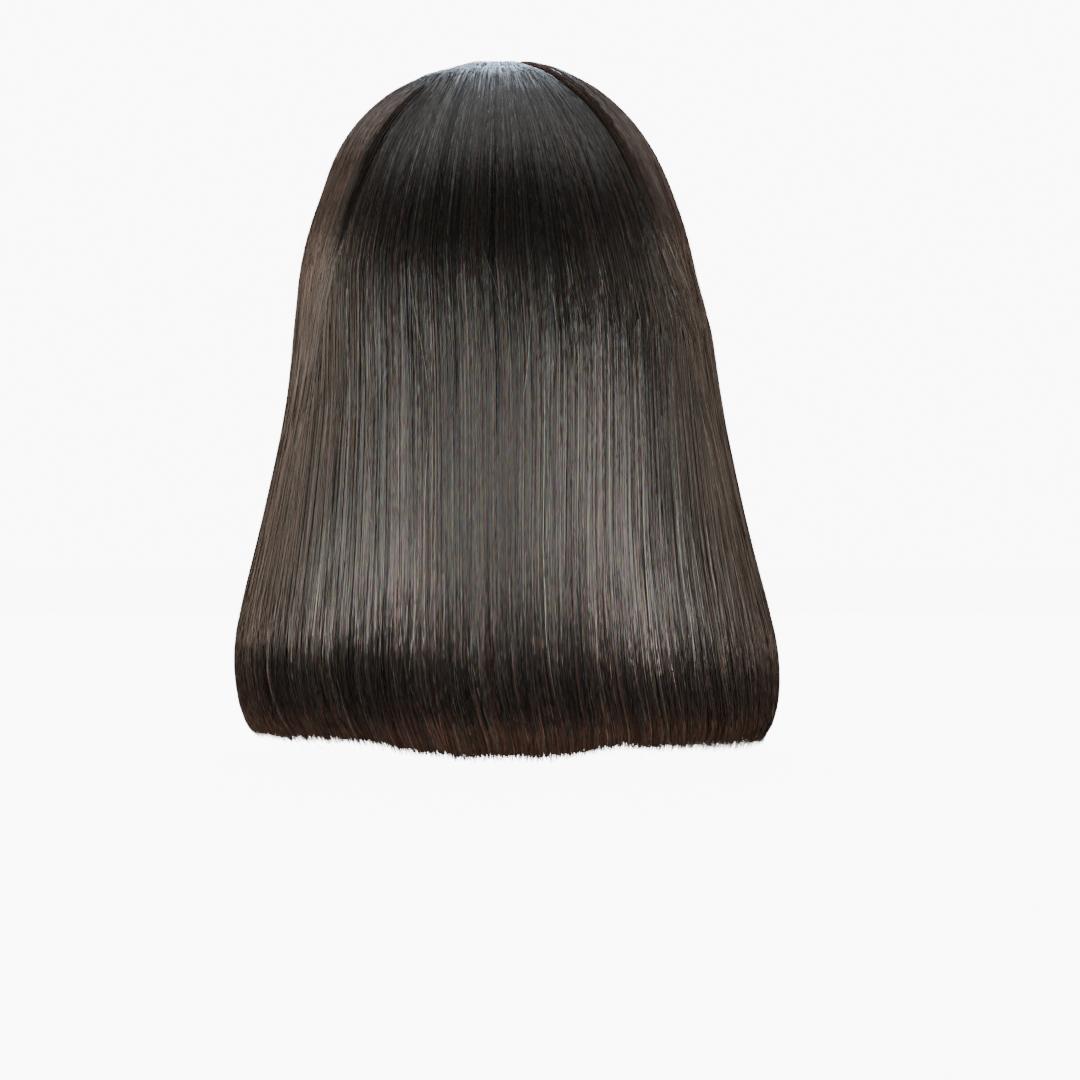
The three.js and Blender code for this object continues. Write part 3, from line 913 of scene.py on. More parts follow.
def mesh_piece(name, points, faces, material, uv=None, strand=None):
    """A mesh object from whole arrays: points, faces of four corners each, a UV pair and a strand colour a
    point."""
    mesh = bpy.data.meshes.new(name)
    mesh.vertices.add(len(points))
    mesh.vertices.foreach_set("co", points.astype(np.float32).ravel())
    corners = faces.shape[1]
    mesh.loops.add(faces.size)
    mesh.loops.foreach_set("vertex_index", faces.astype(np.int32).ravel())
    mesh.polygons.add(len(faces))
    mesh.polygons.foreach_set("loop_start", np.arange(0, faces.size, corners, dtype=np.int32))
    mesh.polygons.foreach_set("use_smooth", np.ones(len(faces), dtype=bool))
    mesh.update(calc_edges=True)
    if uv is not None:
        layer = mesh.uv_layers.new(name="UVMap")
        layer.data.foreach_set("uv", uv[faces.ravel()].astype(np.float32).ravel())
    if strand is not None:
        layer = mesh.attributes.new("strand", "FLOAT_COLOR", "POINT")
        layer.data.foreach_set("color", strand.astype(np.float32).ravel())
    mesh.materials.append(material)
    mesh.validate()
    piece = bpy.data.objects.new(name, mesh)
    bpy.context.scene.collection.objects.link(piece)
    return piece


def belongs(piece, node):
    """Ties a piece to the frame: it rides on the root and hides the node that it stands for."""
    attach(piece, "root")
    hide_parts(node)


def grid_faces(rows, columns, first=0):
    """The faces of a grid of points whose index is row times columns plus column."""
    row, column = np.meshgrid(np.arange(rows - 1), np.arange(columns - 1), indexing="ij")
    corner = first + row * columns + column
    return np.stack([corner, corner + 1, corner + columns + 1, corner + columns], axis=-1).reshape(-1, 4)


def wall_faces(rows, columns):
    """The faces of a closed wall: an outer grid, an inner grid behind it, and the four edges between
    them."""
    half = rows * columns
    faces = [grid_faces(rows, columns), grid_faces(rows, columns, half)[:, ::-1]]
    side = np.arange(columns - 1)
    end = np.arange(rows - 1) * columns
    for edge, step, turn in (
        (side, 1, -1),
        (side + (rows - 1) * columns, 1, 1),
        (end, columns, 1),
        (end + columns - 1, columns, -1),
    ):
        faces.append(np.stack([edge, edge + step, half + edge + step, half + edge], axis=-1)[:, ::turn])
    return np.concatenate(faces)


def carried(points, outward, profile):
    """A closed strip: a profile of (across, outward) pairs carried along a path, with its two ends closed.
    Each point is the path's own plus the profile's parts times the unit vectors across and outwards."""
    _, across, up = path_frame(points, outward)
    rings = points[:, None] + across[:, None] * profile[None, :, :1] + up[:, None] * profile[None, :, 1:]
    count, around = rings.shape[:2]
    ring = np.arange(count - 1)[:, None] * around
    here = np.arange(around)[None, :]
    after = (here + 1) % around
    faces = [np.stack([ring + here, ring + around + here, ring + around + after, ring + after], axis=-1)]
    faces = [faces[0].reshape(-1, 4)]
    step = np.arange(around // 2 - 1)
    cap = np.stack([step, step + 1, around - 2 - step, around - 1 - step], axis=-1)
    faces.append(cap)
    faces.append(cap[:, ::-1] + (count - 1) * around)
    run = np.concatenate([[0], np.cumsum(np.linalg.norm(np.diff(points, axis=0), axis=1))])
    uv = np.stack(np.broadcast_arrays(run[:, None], profile[None, :, 0]), axis=-1)
    return rings.reshape(-1, 3), np.concatenate(faces), uv.reshape(-1, 2)


def oval(half_width, half_height, count=12):
    """A profile that is a flattened oval: the fourth root makes its sides full and its edges round."""
    turn = np.arange(count) * 2 * math.pi / count + math.pi / count
    cosine, sine = np.cos(turn), np.sin(turn)
    across = half_width * np.sign(cosine) * np.abs(cosine) ** 0.5
    up = half_height * np.sign(sine) * np.abs(sine) ** 0.5
    return np.column_stack([across, up])


# Strands

class Kind(NamedTuple):
    """One kind of strand: how many, the runs that they start at, their depths as shares of the hair's
    thickness, their segments, their width and drift as shares of the usual ones, the share of them that are
    grey, and how deep their roots go."""

    count: int
    starts: tuple
    depths: tuple
    segments: int
    width: float = 1.0
    drift: float = 1.0
    pale: float = 0.15
    rooted: float = 0.0


# The kinds in a section, whose numbers come from the panel where they are 0 here, and in the under layer.
WHOLE = Kind(0, (0.0, 0.015), (0.0, 0.11), 24)
TIPS = Kind(0, (1.55, 1.75), (0.05, 1.0), 5, 0.9, 1.6)
JOINING = Kind(0, (0.25, 1.25), (0.02, 0.34), 11, 1.1)
LINING = Kind(900, (0.86, 1.0), (0.97, 1.0), 11, 2.2)
NAPE_INNER = Kind(2800, (1.08, 1.16), (0.98, 0.7), 11, 1.4)
NAPE_OUTER = Kind(1600, (1.5, 1.6), (0.1, 0.9), 6, 1.2, 1.5)

# The bodies under the strands: the runs and the depths that they lie between, and the places in their grid.
BODY_RUNS = (0.06, 1.93)
BODY_DEPTHS = (0.33, 0.95)
NAPE_BODY_RUNS = (1.1, 1.92)
NAPE_BODY_DEPTHS = (0.05, 0.75)
BODY_GRID = (100, 40)
BODY_LIGHT = 0.7

# The seed of each section's chance.
SEEDS = {"hair_back": 11, "hair_left": 23, "hair_right": 37, "hair_nape": 41}


def ribbons(points, outward, roll, width):
    """Flat ribbons, one along each row of points. A ribbon's edge is the cross product of its own direction
    and the outward one, turned by the roll, and half its width is laid off to each side."""
    along = unit(np.gradient(points, axis=1))
    across = unit(np.cross(along, outward))
    face = unit(np.cross(across, along))
    edge = across * np.cos(roll)[:, None, None] + face * np.sin(roll)[:, None, None]
    half = edge * (width / 2)[..., None]
    corners = np.stack([points - half, points + half], axis=2)
    count, rows = points.shape[:2]
    strand = np.arange(count)[:, None] * rows * 2
    row = strand + np.arange(rows - 1)[None, :] * 2
    faces = np.stack([row, row + 1, row + 3, row + 2], axis=-1).reshape(-1, 4)
    return corners.reshape(-1, 3), faces


def spread(rng, count):
    """Evenly spread numbers from 0 to 1, each moved by chance within its own place."""
    return (np.arange(count) + rng.random(count)) / count


def lock_chance(lock):
    """A number from 0 to 1 that belongs to a lock: the fraction of a large multiple of the sine of its
    number."""
    wide = np.sin(lock * 12.9898) * 43758.5453
    return wide - np.floor(wide)


def ridges(angle, run, height):
    """The soft ridges of the locks: the sum of sine waves across the hair that shift a little on the way
    down."""
    down = np.clip(run, 0, 2)
    wave = sum(part * np.sin(angle * turns + shift * down + phase) for part, turns, shift, phase in WAVES)
    return wave * height * lerp(RIDGE_LEAST, 1, smooth(down, *RIDGE_RUNS))


def steps(rng, kind, start, end):
    """The run of each of a strand's points. A whole strand's are shared out by the table; one that starts
    further down has closer points towards its end. Each strand's points are moved by chance, so that they
    form no rings."""
    even = np.linspace(0, 1, kind.segments + 1)
    if kind.starts[1] < STEP_RUNS[1]:
        shares = np.interp(even, STEP_SHARES, STEP_RUNS) / STEP_RUNS[-1]
    else:
        shares = 1 - (1 - even) ** CLOSER
    gaps = np.minimum(np.diff(shares, prepend=0), np.diff(shares, append=1))
    moved = shares[None, :] + gaps[None, :] * (rng.random((len(start), 1)) - 0.5)
    return start[:, None] + (end - start)[:, None] * moved


def comb(rng, sizes, hair, point, kind, angles):
    """Strands of one kind between two angles: their points, outward directions, widths, angles, runs and
    locks."""
    count = kind.count
    angle = lerp(angles[0], angles[1], spread(rng, count))[rng.permutation(count)]
    start = lerp(kind.starts[0], kind.starts[1], rng.random(count))
    lock = np.round(angle / hair.lock + rng.normal(0, LOCK_STRAY, count))
    luck = lock_chance(lock)
    shorter = through(HEM_ROWS, HEM_COLUMNS, "shorter", np.degrees(angle))
    uneven = (END_CHANCE * rng.normal(0, 1, count) + END_LOCK * luck + END_ALL) * hair.uneven
    end = 2 + (sizes.tip_reach - shorter - uneven) / sizes.fall
    run = steps(rng, kind, start, end)
    down = np.clip(run, 0, 2)
    straying = rng.normal(0, 1, count)[:, None] * smooth(down, 0, WANDERED)
    waving = WAVE * rng.normal(0, 1, count)[:, None]
    waving = waving * np.sin(down * WAVE_TURN + PHASES * rng.random(count)[:, None])
    wander = hair.drift * kind.drift * (straying + waving)
    gather = (lock * hair.lock - angle)[:, None] * smooth(down, *GATHER_RUNS)
    gather = gather * GATHER * rng.random(count)[:, None]
    cross = hair.hem_cross * rng.normal(0, 1, count)[:, None] * smooth(down, *CROSS_RUNS) ** HEM_POWER
    sweep = hair.hem_sweep * (SWEEP_ALL + SWEEP_LOCK * luck[:, None]) * smooth(down, *SWEEP_RUNS) ** HEM_POWER
    bent = np.clip(angle[:, None] + wander + gather, min(angles) - hair.lock, max(angles) + hair.lock)
    bent = bent + cross - sweep
    depth = lerp(kind.depths[0], kind.depths[1], rng.random(count) ** DEPTH_POWER)
    sway = SWAY * np.sin(down * SWAY_TURN + rng.random(count)[:, None] * PHASES)
    inward = np.clip(depth[:, None] + sway, 0, 1)
    inward = lerp(np.maximum(inward, kind.rooted), inward, smooth(run, 0, ROOTED))
    points, outward = point(sizes, bent, run, inward, ridges(bent, run, hair.ridge))
    along = np.linspace(0, 1, kind.segments + 1)
    taper = lerp(TAPER, 1, smooth(1 - along, 0, TAPER_LENGTH))
    widths = hair.strand_width * kind.width * rng.uniform(*WIDTHS, count)[:, None] * taper[None, :]
    return {"points": points, "outward": outward, "width": widths, "angle": bent, "run": run, "lock": luck,
            "pale": kind.pale}


def flyaways(rng, sizes, hair, point, angles):
    """Loose ends: short strands that leave the surface and curve away from it, by a power of how far along
    they are, and sideways as they go."""
    count = hair.flyaways
    angle = rng.uniform(*angles, count)
    start = rng.uniform(*FLY_STARTS, count)
    reach = rng.uniform(*FLY_REACH, count)
    along = np.linspace(0, 1, 9)
    run = np.minimum(start[:, None] + reach[:, None] * along[None, :], 2 + sizes.tip_reach / sizes.fall)
    aside = rng.normal(0, FLY_ASIDE, count)[:, None] * along[None, :] ** ASIDE_POWER
    away = np.minimum(rng.exponential(FLY_AWAY, count), FLY_FURTHEST)[:, None] * along[None, :] ** AWAY_POWER
    bent = angle[:, None] + aside
    points, outward = point(sizes, bent, run, np.zeros_like(run), away)
    widths = hair.strand_width * rng.uniform(*FLY_WIDTHS, count)[:, None] * (1 - FLY_THINNER * along[None, :])
    return {"points": points, "outward": outward, "width": widths, "angle": bent, "run": run,
            "lock": rng.random(count), "pale": FLY_PALE}


def crossing(rng, sizes, hair, point, angles):
    """A few long strands that lie across the others: their angle changes steadily on the way down."""
    count = hair.crossing
    angle = rng.uniform(*angles, count) * ACROSS_WITHIN
    start = rng.uniform(*ACROSS_STARTS, count)
    reach = rng.uniform(*ACROSS_REACH, count)
    along = np.linspace(0, 1, 13)
    run = np.minimum(start[:, None] + reach[:, None] * along[None, :], 2)
    lean = rng.normal(0, ACROSS_LEAN, count)[:, None]
    bent = angle[:, None] + lean * (along[None, :] - 0.5) + ACROSS_BEND * np.sin(along[None, :] * ACROSS_TURN)
    points, outward = point(sizes, bent, run, np.zeros_like(run), np.full_like(run, ACROSS_HEIGHT))
    widths = hair.strand_width * rng.uniform(*ACROSS_WIDTHS, count)[:, None] * np.ones_like(run)
    return {"points": points, "outward": outward, "width": widths, "angle": bent, "run": run,
            "lock": rng.random(count), "pale": ACROSS_PALE}


def brown_and_painted_light(angle, run):
    """How brown the hair is: little at the back, most over the sides of the head, and less in the fall. Over
    the sides this is partly the hair's warmer tone and partly painted warm rim light; the added brown on the
    hem's bevel is painted light.
    """
    down = smooth(run, *FALLS_FROM)
    by_side = smooth(np.abs(angle), BROWN_FROM + BROWN_FROM_FALL * down, BROWN_TO + BROWN_TO_FALL * down)
    sides = by_side * lerp(SIDES_BROWN_AND_RIM_GLOW_HEAD, SIDES_BROWN_AND_RIM_GLOW_FALL, smooth(run, *BROWN_FADES))
    # Painted light: the sides' share stands in for a warm rim light, the hem's for light on the bevel.
    return BROWN_ALL + sides + BEVEL_PAINTED_LIGHT * smooth(run, *BEVEL_PAINTED_LIGHT_RUNS)


def tint(rng, strands):
    """The strand colour of each point: red is the share of brown, green the share of grey, blue the
    lightness, and alpha how far the strand is tilted along its length, where a half is not at all. The
    brown and the lightness carry painted light: a warm rim light over the sides, light on the hem's bevel, a
    glow through the thin ends and a streaky sheen at the roots."""
    run, angle = strands["run"], strands["angle"]
    count = len(run)
    chance = rng.normal(0, 1, (4, count, 1))
    luck = strands["lock"][:, None]
    brown = brown_and_painted_light(angle, run) + BROWN_LOCK * (luck - 0.5) + BROWN_CHANCE * chance[0]
    # Redder ends: a painted glow of light shining through the thin ends.
    brown = brown + ENDS_GLOW_BROWN * smooth(run, *ENDS_GLOW_BROWN_RUNS)
    pale = (rng.random((count, 1)) < strands["pale"]) * rng.uniform(PALE_LEAST, 1, (count, 1))
    pale = pale * np.ones_like(run)
    tuft = np.round(angle[:, :1] / TUFT + TUFT_STRAY * chance[3])
    tuft_luck = lock_chance(tuft) - 0.5
    # Where the roots' painted sheen fades out, later in some tufts.
    sheen_start, sheen_end = ROOT_SHEEN_RUNS
    rooted = 1 - smooth(run, sheen_start, sheen_end + ROOT_SHEEN_LATER_BY_TUFT * lock_chance(tuft + TUFT_OTHER))
    ends = smooth(run, *ENDS_GLOW_LIGHT_RUNS)
    crown = 1 - smooth(run, *CROWN_RUNS)
    low = smooth(run, *LOW_RUNS)
    varied = (LIGHT_CHANCE + LIGHT_CROWN * crown + ROOT_SHEEN_CHANCE * rooted + LIGHT_LOW * low) * chance[1]
    # At the roots the wide spread by tuft makes them lighter on the whole, in streaks: a painted sheen.
    light = np.exp(varied + (ROOT_SHEEN_BY_TUFT * rooted + TUFT_CROWN * crown) * tuft_luck)
    # Lighter ends: a painted glow of light through them.
    light = light * (LIGHT_LEAST + LIGHT_LOCK * luck) * (1 + ENDS_GLOW_LIGHT * ends)
    tilt = 0.5 + TILT_CHANCE * chance[2] + (TILT_LOCK * (luck - 0.5) - TILT_LOW) * low
    tilt = tilt - TILT_FALLING * smooth(run, *FALLING_RUNS)
    return np.clip(np.stack([brown, pale, light / LIGHTEST, tilt], axis=-1), 0, 1)


def strand_piece(name, rng, hair, groups, material):
    """One mesh of ribbons from several kinds of strand, each strand with its own column of the UV map."""
    total = sum(len(strands["run"]) for strands in groups)
    made = {"points": [], "faces": [], "uv": [], "strand": []}
    first_point, first_strand = 0, 0
    for strands in groups:
        count = len(strands["run"])
        roll = rng.normal(0, hair.roll, count)
        points, faces = ribbons(strands["points"], strands["outward"], roll, strands["width"])
        column = (first_strand + np.arange(count))[:, None, None] + np.array([0.1, 0.9])[None, None, :]
        down = (strands["run"] / STEP_RUNS[-1])[:, :, None] + np.zeros((1, 1, 2))
        uv = np.stack(np.broadcast_arrays(column / total, down), axis=-1)
        made["points"].append(points)
        made["faces"].append(faces + first_point)
        made["uv"].append(uv.reshape(-1, 2))
        made["strand"].append(np.repeat(tint(rng, strands), 2, axis=1).reshape(-1, 4))
        first_point += len(points)
        first_strand += count
    made = {key: np.concatenate(parts) for key, parts in made.items()}
    return mesh_piece(name, made["points"], made["faces"], material, made["uv"], made["strand"])


def body_piece(name, sizes, hair, point, angles, runs, depths, material):
    """The hair under the top strands: a closed wall between two depths of a section, in fine ridges."""
    across, down = BODY_GRID
    even = np.linspace(0, 1, down)
    levels = lerp(runs[0], runs[1], np.interp(even, STEP_SHARES, np.array(STEP_RUNS) / STEP_RUNS[-1]))
    angle, run = np.meshgrid(np.linspace(angles[0], angles[1], across), levels, indexing="ij")
    raised = ridges(angle, run, hair.ridge)
    outer, _ = point(sizes, angle, run, np.full_like(angle, depths[0]), raised)
    inner, _ = point(sizes, angle, run, np.full_like(angle, depths[1]), 0 * raised)
    points = np.concatenate([outer.reshape(-1, 3), inner.reshape(-1, 3)])
    uv = np.column_stack([angle.ravel(), run.ravel() / STEP_RUNS[-1]])
    # The brown share includes painted light: a warm rim light over the sides and light on the hem's bevel.
    brown = np.clip(brown_and_painted_light(angle, run).ravel(), 0, 1)
    strand = np.column_stack([brown, 0 * brown, 0 * brown + BODY_LIGHT / LIGHTEST, 0 * brown + 0.5])
    uv, strand = np.tile(uv, (2, 1)), np.tile(strand, (2, 1))
    return mesh_piece(name, points, wall_faces(across, down), material, uv, strand)


# Materials

def hair_material(colours):
    """Strands: each has the brown, grey and lightness that it carries, in flecks of slightly different
    tints. The gloss takes the strand's own tint, less on a brown one. The normal leans up or down by the
    strand's own tilt and by the flecks, so that the sheen's ends are ragged."""
    shader = Shader("strands")
    strand = shader.node("ShaderNodeAttribute", {"attribute_name": "strand"}, output="Color")
    parts = shader.node("ShaderNodeSeparateColor", inputs={0: strand}, output="Red")
    # The brown share and the lightness carry painted light: a warm rim light over the sides, light on the
    # bevel, a glow through the ends and a sheen at the roots.
    base = shader.mix(parts, rgba(colours.dark), rgba(colours.brown))
    base = shader.mix(parts.output("Green"), base, rgba(colours.grey))
    light = parts.output("Blue") * LIGHTEST
    lightness = shader.node("ShaderNodeCombineColor", inputs={0: light, 1: light, 2: light})
    base = shader.mix(1.0, base, lightness, "MULTIPLY")
    place = shader.node("ShaderNodeTexCoord", output="Object")
    drawn = shader.node("ShaderNodeMapping", inputs={"Vector": place, "Scale": FLECK_SCALE})
    fleck = shader.node("ShaderNodeTexNoise", inputs={"Vector": drawn, "Scale": 1.0, "Detail": 1.0})
    tints = shader.node("ShaderNodeVectorMath", {"operation": "MULTIPLY_ADD"},
                        {0: fleck.output("Color"), 1: (FLECK_TINT,) * 3, 2: (1 - FLECK_TINT / 2,) * 3})
    base = shader.mix(1.0, base, tints, "MULTIPLY")
    tilt = (strand.output("Alpha") - 0.5) * TILT + (fleck - 0.5) * FLECK
    lean = shader.node("ShaderNodeCombineXYZ", inputs={"Z": tilt})
    facing = shader.node("ShaderNodeNewGeometry", output="Normal")
    leaning = shader.node("ShaderNodeVectorMath", {"operation": "ADD"}, {0: facing, 1: lean})
    normal = shader.node("ShaderNodeVectorMath", {"operation": "NORMALIZE"}, {0: leaning})
    rough = HAIR_ROUGH - ROUGH_TILT * strand.output("Alpha") - ROUGH_FLECK * fleck
    gloss = HAIR_GLOSS - GLOSS_BROWN * parts
    return shader.surface(base_color=base, roughness=rough, metallic=gloss, ior_level=0.55, anisotropic=0.7,
                          normal=normal)


def under_material(colours):
    """The hair under the top strands: the same colours in fine streaks down the section, with a fine
    bump."""
    shader = Shader("under_strands")
    strand = shader.node("ShaderNodeAttribute", {"attribute_name": "strand"}, output="Color")
    brown = shader.node("ShaderNodeSeparateColor", inputs={0: strand}, output="Red")
    place = shader.node("ShaderNodeUVMap", {"uv_map": "UVMap"})
    stretched = shader.node("ShaderNodeMapping", inputs={"Vector": place, "Scale": UNDER_STREAKS})
    streak = shader.node("ShaderNodeTexNoise", inputs={"Vector": stretched, "Scale": 1.0, "Detail": 4.0})
    # The brown share carries painted light too: a warm rim light over the sides and light on the hem's bevel.
    base = shader.mix(brown, rgba(colours.dark, UNDER_DARK), rgba(colours.brown))
    shade = shader.node("ShaderNodeValToRGB", {"stops": UNDER_SHADE}, {0: streak})
    base = shader.mix(1.0, base, shade, "MULTIPLY")
    bump = shader.node("ShaderNodeBump", inputs={"Strength": 0.6, "Distance": 0.0004, "Height": streak})
    return shader.surface(base_color=base, roughness=0.42, ior_level=0.45, anisotropic=0.75, normal=bump)


def threads(shader, place, pitch, sharp):
    """How much of a thread lies at a place in a net of slanting threads: a power of 1 less the sine's size,
    for each of two directions. Also gives the product of the two, which is where they cross."""
    parts = shader.node("ShaderNodeSeparateXYZ", inputs={0: place})
    across, down = parts, parts.output("Y")
    slant = down * THREAD_SLANT
    first = (1 - ((across + slant) * (math.pi / pitch)).maths("SINE").maths("ABSOLUTE")) ** sharp
    second = (1 - ((across - slant) * (math.pi / pitch)).maths("SINE").maths("ABSOLUTE")) ** sharp
    thread = shader.node("ShaderNodeMath", {"operation": "MAXIMUM"}, {0: first, 1: second})
    return thread, first * second


def net_material(colours):
    """The cap's stretch net: dark threads in a slanting mesh, over darker holes."""
    shader = Shader("cap_net")
    place = shader.node("ShaderNodeUVMap", {"uv_map": "UVMap"})
    thread, _ = threads(shader, place, NET_PITCH, NET_SHARP)
    wear = shader.node("ShaderNodeTexNoise", inputs={"Vector": place, "Scale": 40.0, "Detail": 3.0})
    base = shader.mix(thread, rgba(colours.net, NET_HOLE), rgba(colours.net))
    base = shader.mix(wear * thread * 0.5, base, rgba(colours.net, NET_BRIGHT))
    bump = shader.node("ShaderNodeBump", inputs={"Strength": 0.8, "Distance": 0.0005, "Height": thread})
    return shader.surface(base_color=base, roughness=0.85 - thread * 0.25, ior_level=0.35, normal=bump)


def lace_material(colours):
    """The parting's lace: fine tan threads, with a dark knot at every other crossing."""
    shader = Shader("lace")
    place = shader.node("ShaderNodeUVMap", {"uv_map": "UVMap"})
    thread, _ = threads(shader, place, LACE_PITCH, LACE_SHARP)
    _, knot = threads(shader, place, 2 * LACE_PITCH, KNOT_SHARP)
    base = shader.mix(thread, rgba(colours.lace, LACE_HOLE), rgba(colours.lace))
    base = shader.mix(knot, base, rgba(colours.knot))
    height = thread + knot * KNOT_HEIGHT
    bump = shader.node("ShaderNodeBump", inputs={"Strength": 0.7, "Distance": 0.0004, "Height": height})
    return shader.surface(base_color=base, roughness=0.75, ior_level=0.35, normal=bump)


def band_material(colours):
    """The bound rim and the tape: ribbed elastic with a row of stitches along each edge, and painted shade in
    the grooves between the ribs.
    """
    shader = Shader("band")
    place = shader.node("ShaderNodeUVMap", {"uv_map": "UVMap"})
    parts = shader.node("ShaderNodeSeparateXYZ", inputs={0: place})
    along, across = parts, parts.output("Y").maths("ABSOLUTE")
    rib = (along * (math.pi / RIB)).maths("SINE").maths("ABSOLUTE")
    dash = ((along * (math.pi / STITCH)).maths("SINE") * 4 + 1).maths("FLOOR")
    dash = shader.node("ShaderNodeClamp", inputs={0: dash})
    off = (across - STITCH_ROW).maths("ABSOLUTE")
    near, far = STITCH_FADE
    line = shader.node("ShaderNodeMapRange", inputs={0: off, 1: near, 2: far, 3: 1.0, 4: 0.0})
    stitch = dash * line
    # Painted shade: darker in the grooves between the ribs.
    base = shader.mix(rib, rgba(colours.band, BAND_GROOVE_SHADE), rgba(colours.band))
    base = shader.mix(stitch, base, rgba(colours.band, BAND_BRIGHT))
    height = rib * 0.5 + stitch
    bump = shader.node("ShaderNodeBump", inputs={"Strength": 0.7, "Distance": 0.0004, "Height": height})
    return shader.surface(base_color=base, roughness=0.62 - stitch * 0.15, ior_level=0.4, normal=bump)


def floor_material(colours):
    """A plain matt floor, as pale as the background."""
    shader = Shader("floor")
    place = shader.node("ShaderNodeTexCoord", output="Object")
    grain = shader.node("ShaderNodeTexNoise", inputs={"Vector": place, "Scale": 900.0, "Detail": 2.0})
    bump = shader.node("ShaderNodeBump", inputs={"Strength": 0.08, "Distance": 0.001, "Height": grain})
    return shader.surface(base_color=rgba(colours.floor), roughness=0.8, normal=bump,
                          emission_color=rgba(STUDIO_WHITE), emission_strength=FLOOR_GLOW)


def material_named(name, make, colours):
    """The material of this name, made once."""
    return bpy.data.materials.get(name) or make(colours)


# Pieces

def section(context, name, count, angles, body_angles, point, rooted):
    """A section of hair: its body, its top strands and the strands beneath them. The node has the section's
    name."""
    scene = context.scene
    sizes, hair, colours = scene.wig_sizes, scene.wig_hair, scene.wig_colours
    rng = np.random.default_rng(SEEDS[name])
    at_side = angles[0] * angles[1] > 0
    inside = (min(angles, key=abs), max(angles, key=abs)) if at_side else angles
    near = (inside[0], inside[0] + math.copysign(CROWN_NEAR, inside[0])) if at_side else angles
    filling = [(arc, round(count * part)) for arc, part in CROWN_FILL]
    kind = WHOLE._replace(count=count - sum(some for _, some in filling), rooted=rooted)
    whole = [comb(rng, sizes, hair, point, kind, angles)]
    for arc, some in filling:
        whole.append(comb(rng, narrower(sizes, arc), hair, point, kind._replace(count=some), near))
    tips = comb(rng, sizes, hair, point, TIPS._replace(count=hair.tips), angles)
    loose = flyaways(rng, sizes, hair, point, angles)
    across = crossing(rng, sizes, hair, point, angles)
    joining = comb(rng, sizes, hair, point, JOINING._replace(count=hair.joining), angles)
    lining = comb(rng, sizes, hair, point, LINING, inside)
    beneath = [joining, tips, lining, loose, across]
    strands = material_named("strands", hair_material, colours)
    under = material_named("under_strands", under_material, colours)
    pieces = [
        strand_piece(name + "_strands", rng, hair, whole, strands),
        strand_piece(name + "_under_strands", rng, hair, beneath, strands),
        body_piece(name + "_body", sizes, hair, point, body_angles, BODY_RUNS, BODY_DEPTHS, under),
    ]
    for piece in pieces:
        belongs(piece, name)


# Operators

class WIG_OT_hair_back(bpy.types.Operator):
    """Make the hair at the back, from the crown to the hem"""

    bl_idname = "wig.hair_back"
    bl_label = "Back hair"

    def execute(self, context):
        sizes, hair = context.scene.wig_sizes, context.scene.wig_hair
        edge = sizes.back_edge
        wide = edge + sizes.edge_open
        count = hair.back_strands
        section(context, "hair_back", count, (-wide, wide), (-edge, edge), back_point, BACK_ROOTED)
        return {"FINISHED"}


class WIG_OT_hair_sides(bpy.types.Operator):
    """Make the hair over the wearer's left and right sides"""

    bl_idname = "wig.hair_sides"
    bl_label = "Side hair"

    def execute(self, context):
        sizes, hair = context.scene.wig_sizes, context.scene.wig_hair
        near, far = sizes.back_edge, sizes.front_edge
        hidden = near - math.radians(1)
        count = hair.side_strands
        section(context, "hair_left", count, (near, far), (far, hidden), side_point(LEFT), SIDE_ROOTED)
        section(context, "hair_right", count, (-far, -near), (-hidden, -far), side_point(RIGHT), SIDE_ROOTED)
        return {"FINISHED"}


class WIG_OT_hair_nape(bpy.types.Operator):
    """Make the under layer at the nape"""

    bl_idname = "wig.hair_nape"
    bl_label = "Nape hair"

    def execute(self, context):
        scene = context.scene
        sizes, hair, colours = scene.wig_sizes, scene.wig_hair, scene.wig_colours
        name = "hair_nape"
        rng = np.random.default_rng(SEEDS[name])
        angles = (-sizes.nape_edge, sizes.nape_edge)
        combed = [comb(rng, sizes, hair, nape_point, kind, angles) for kind in (NAPE_INNER, NAPE_OUTER)]
        strands = material_named("strands", hair_material, colours)
        under = material_named("under_strands", under_material, colours)
        belongs(strand_piece(name + "_strands", rng, hair, combed, strands), name)
        runs, depths = NAPE_BODY_RUNS, NAPE_BODY_DEPTHS
        body = body_piece(name + "_body", sizes, hair, nape_point, angles, runs, depths, under)
        belongs(body, name)
        return {"FINISHED"}


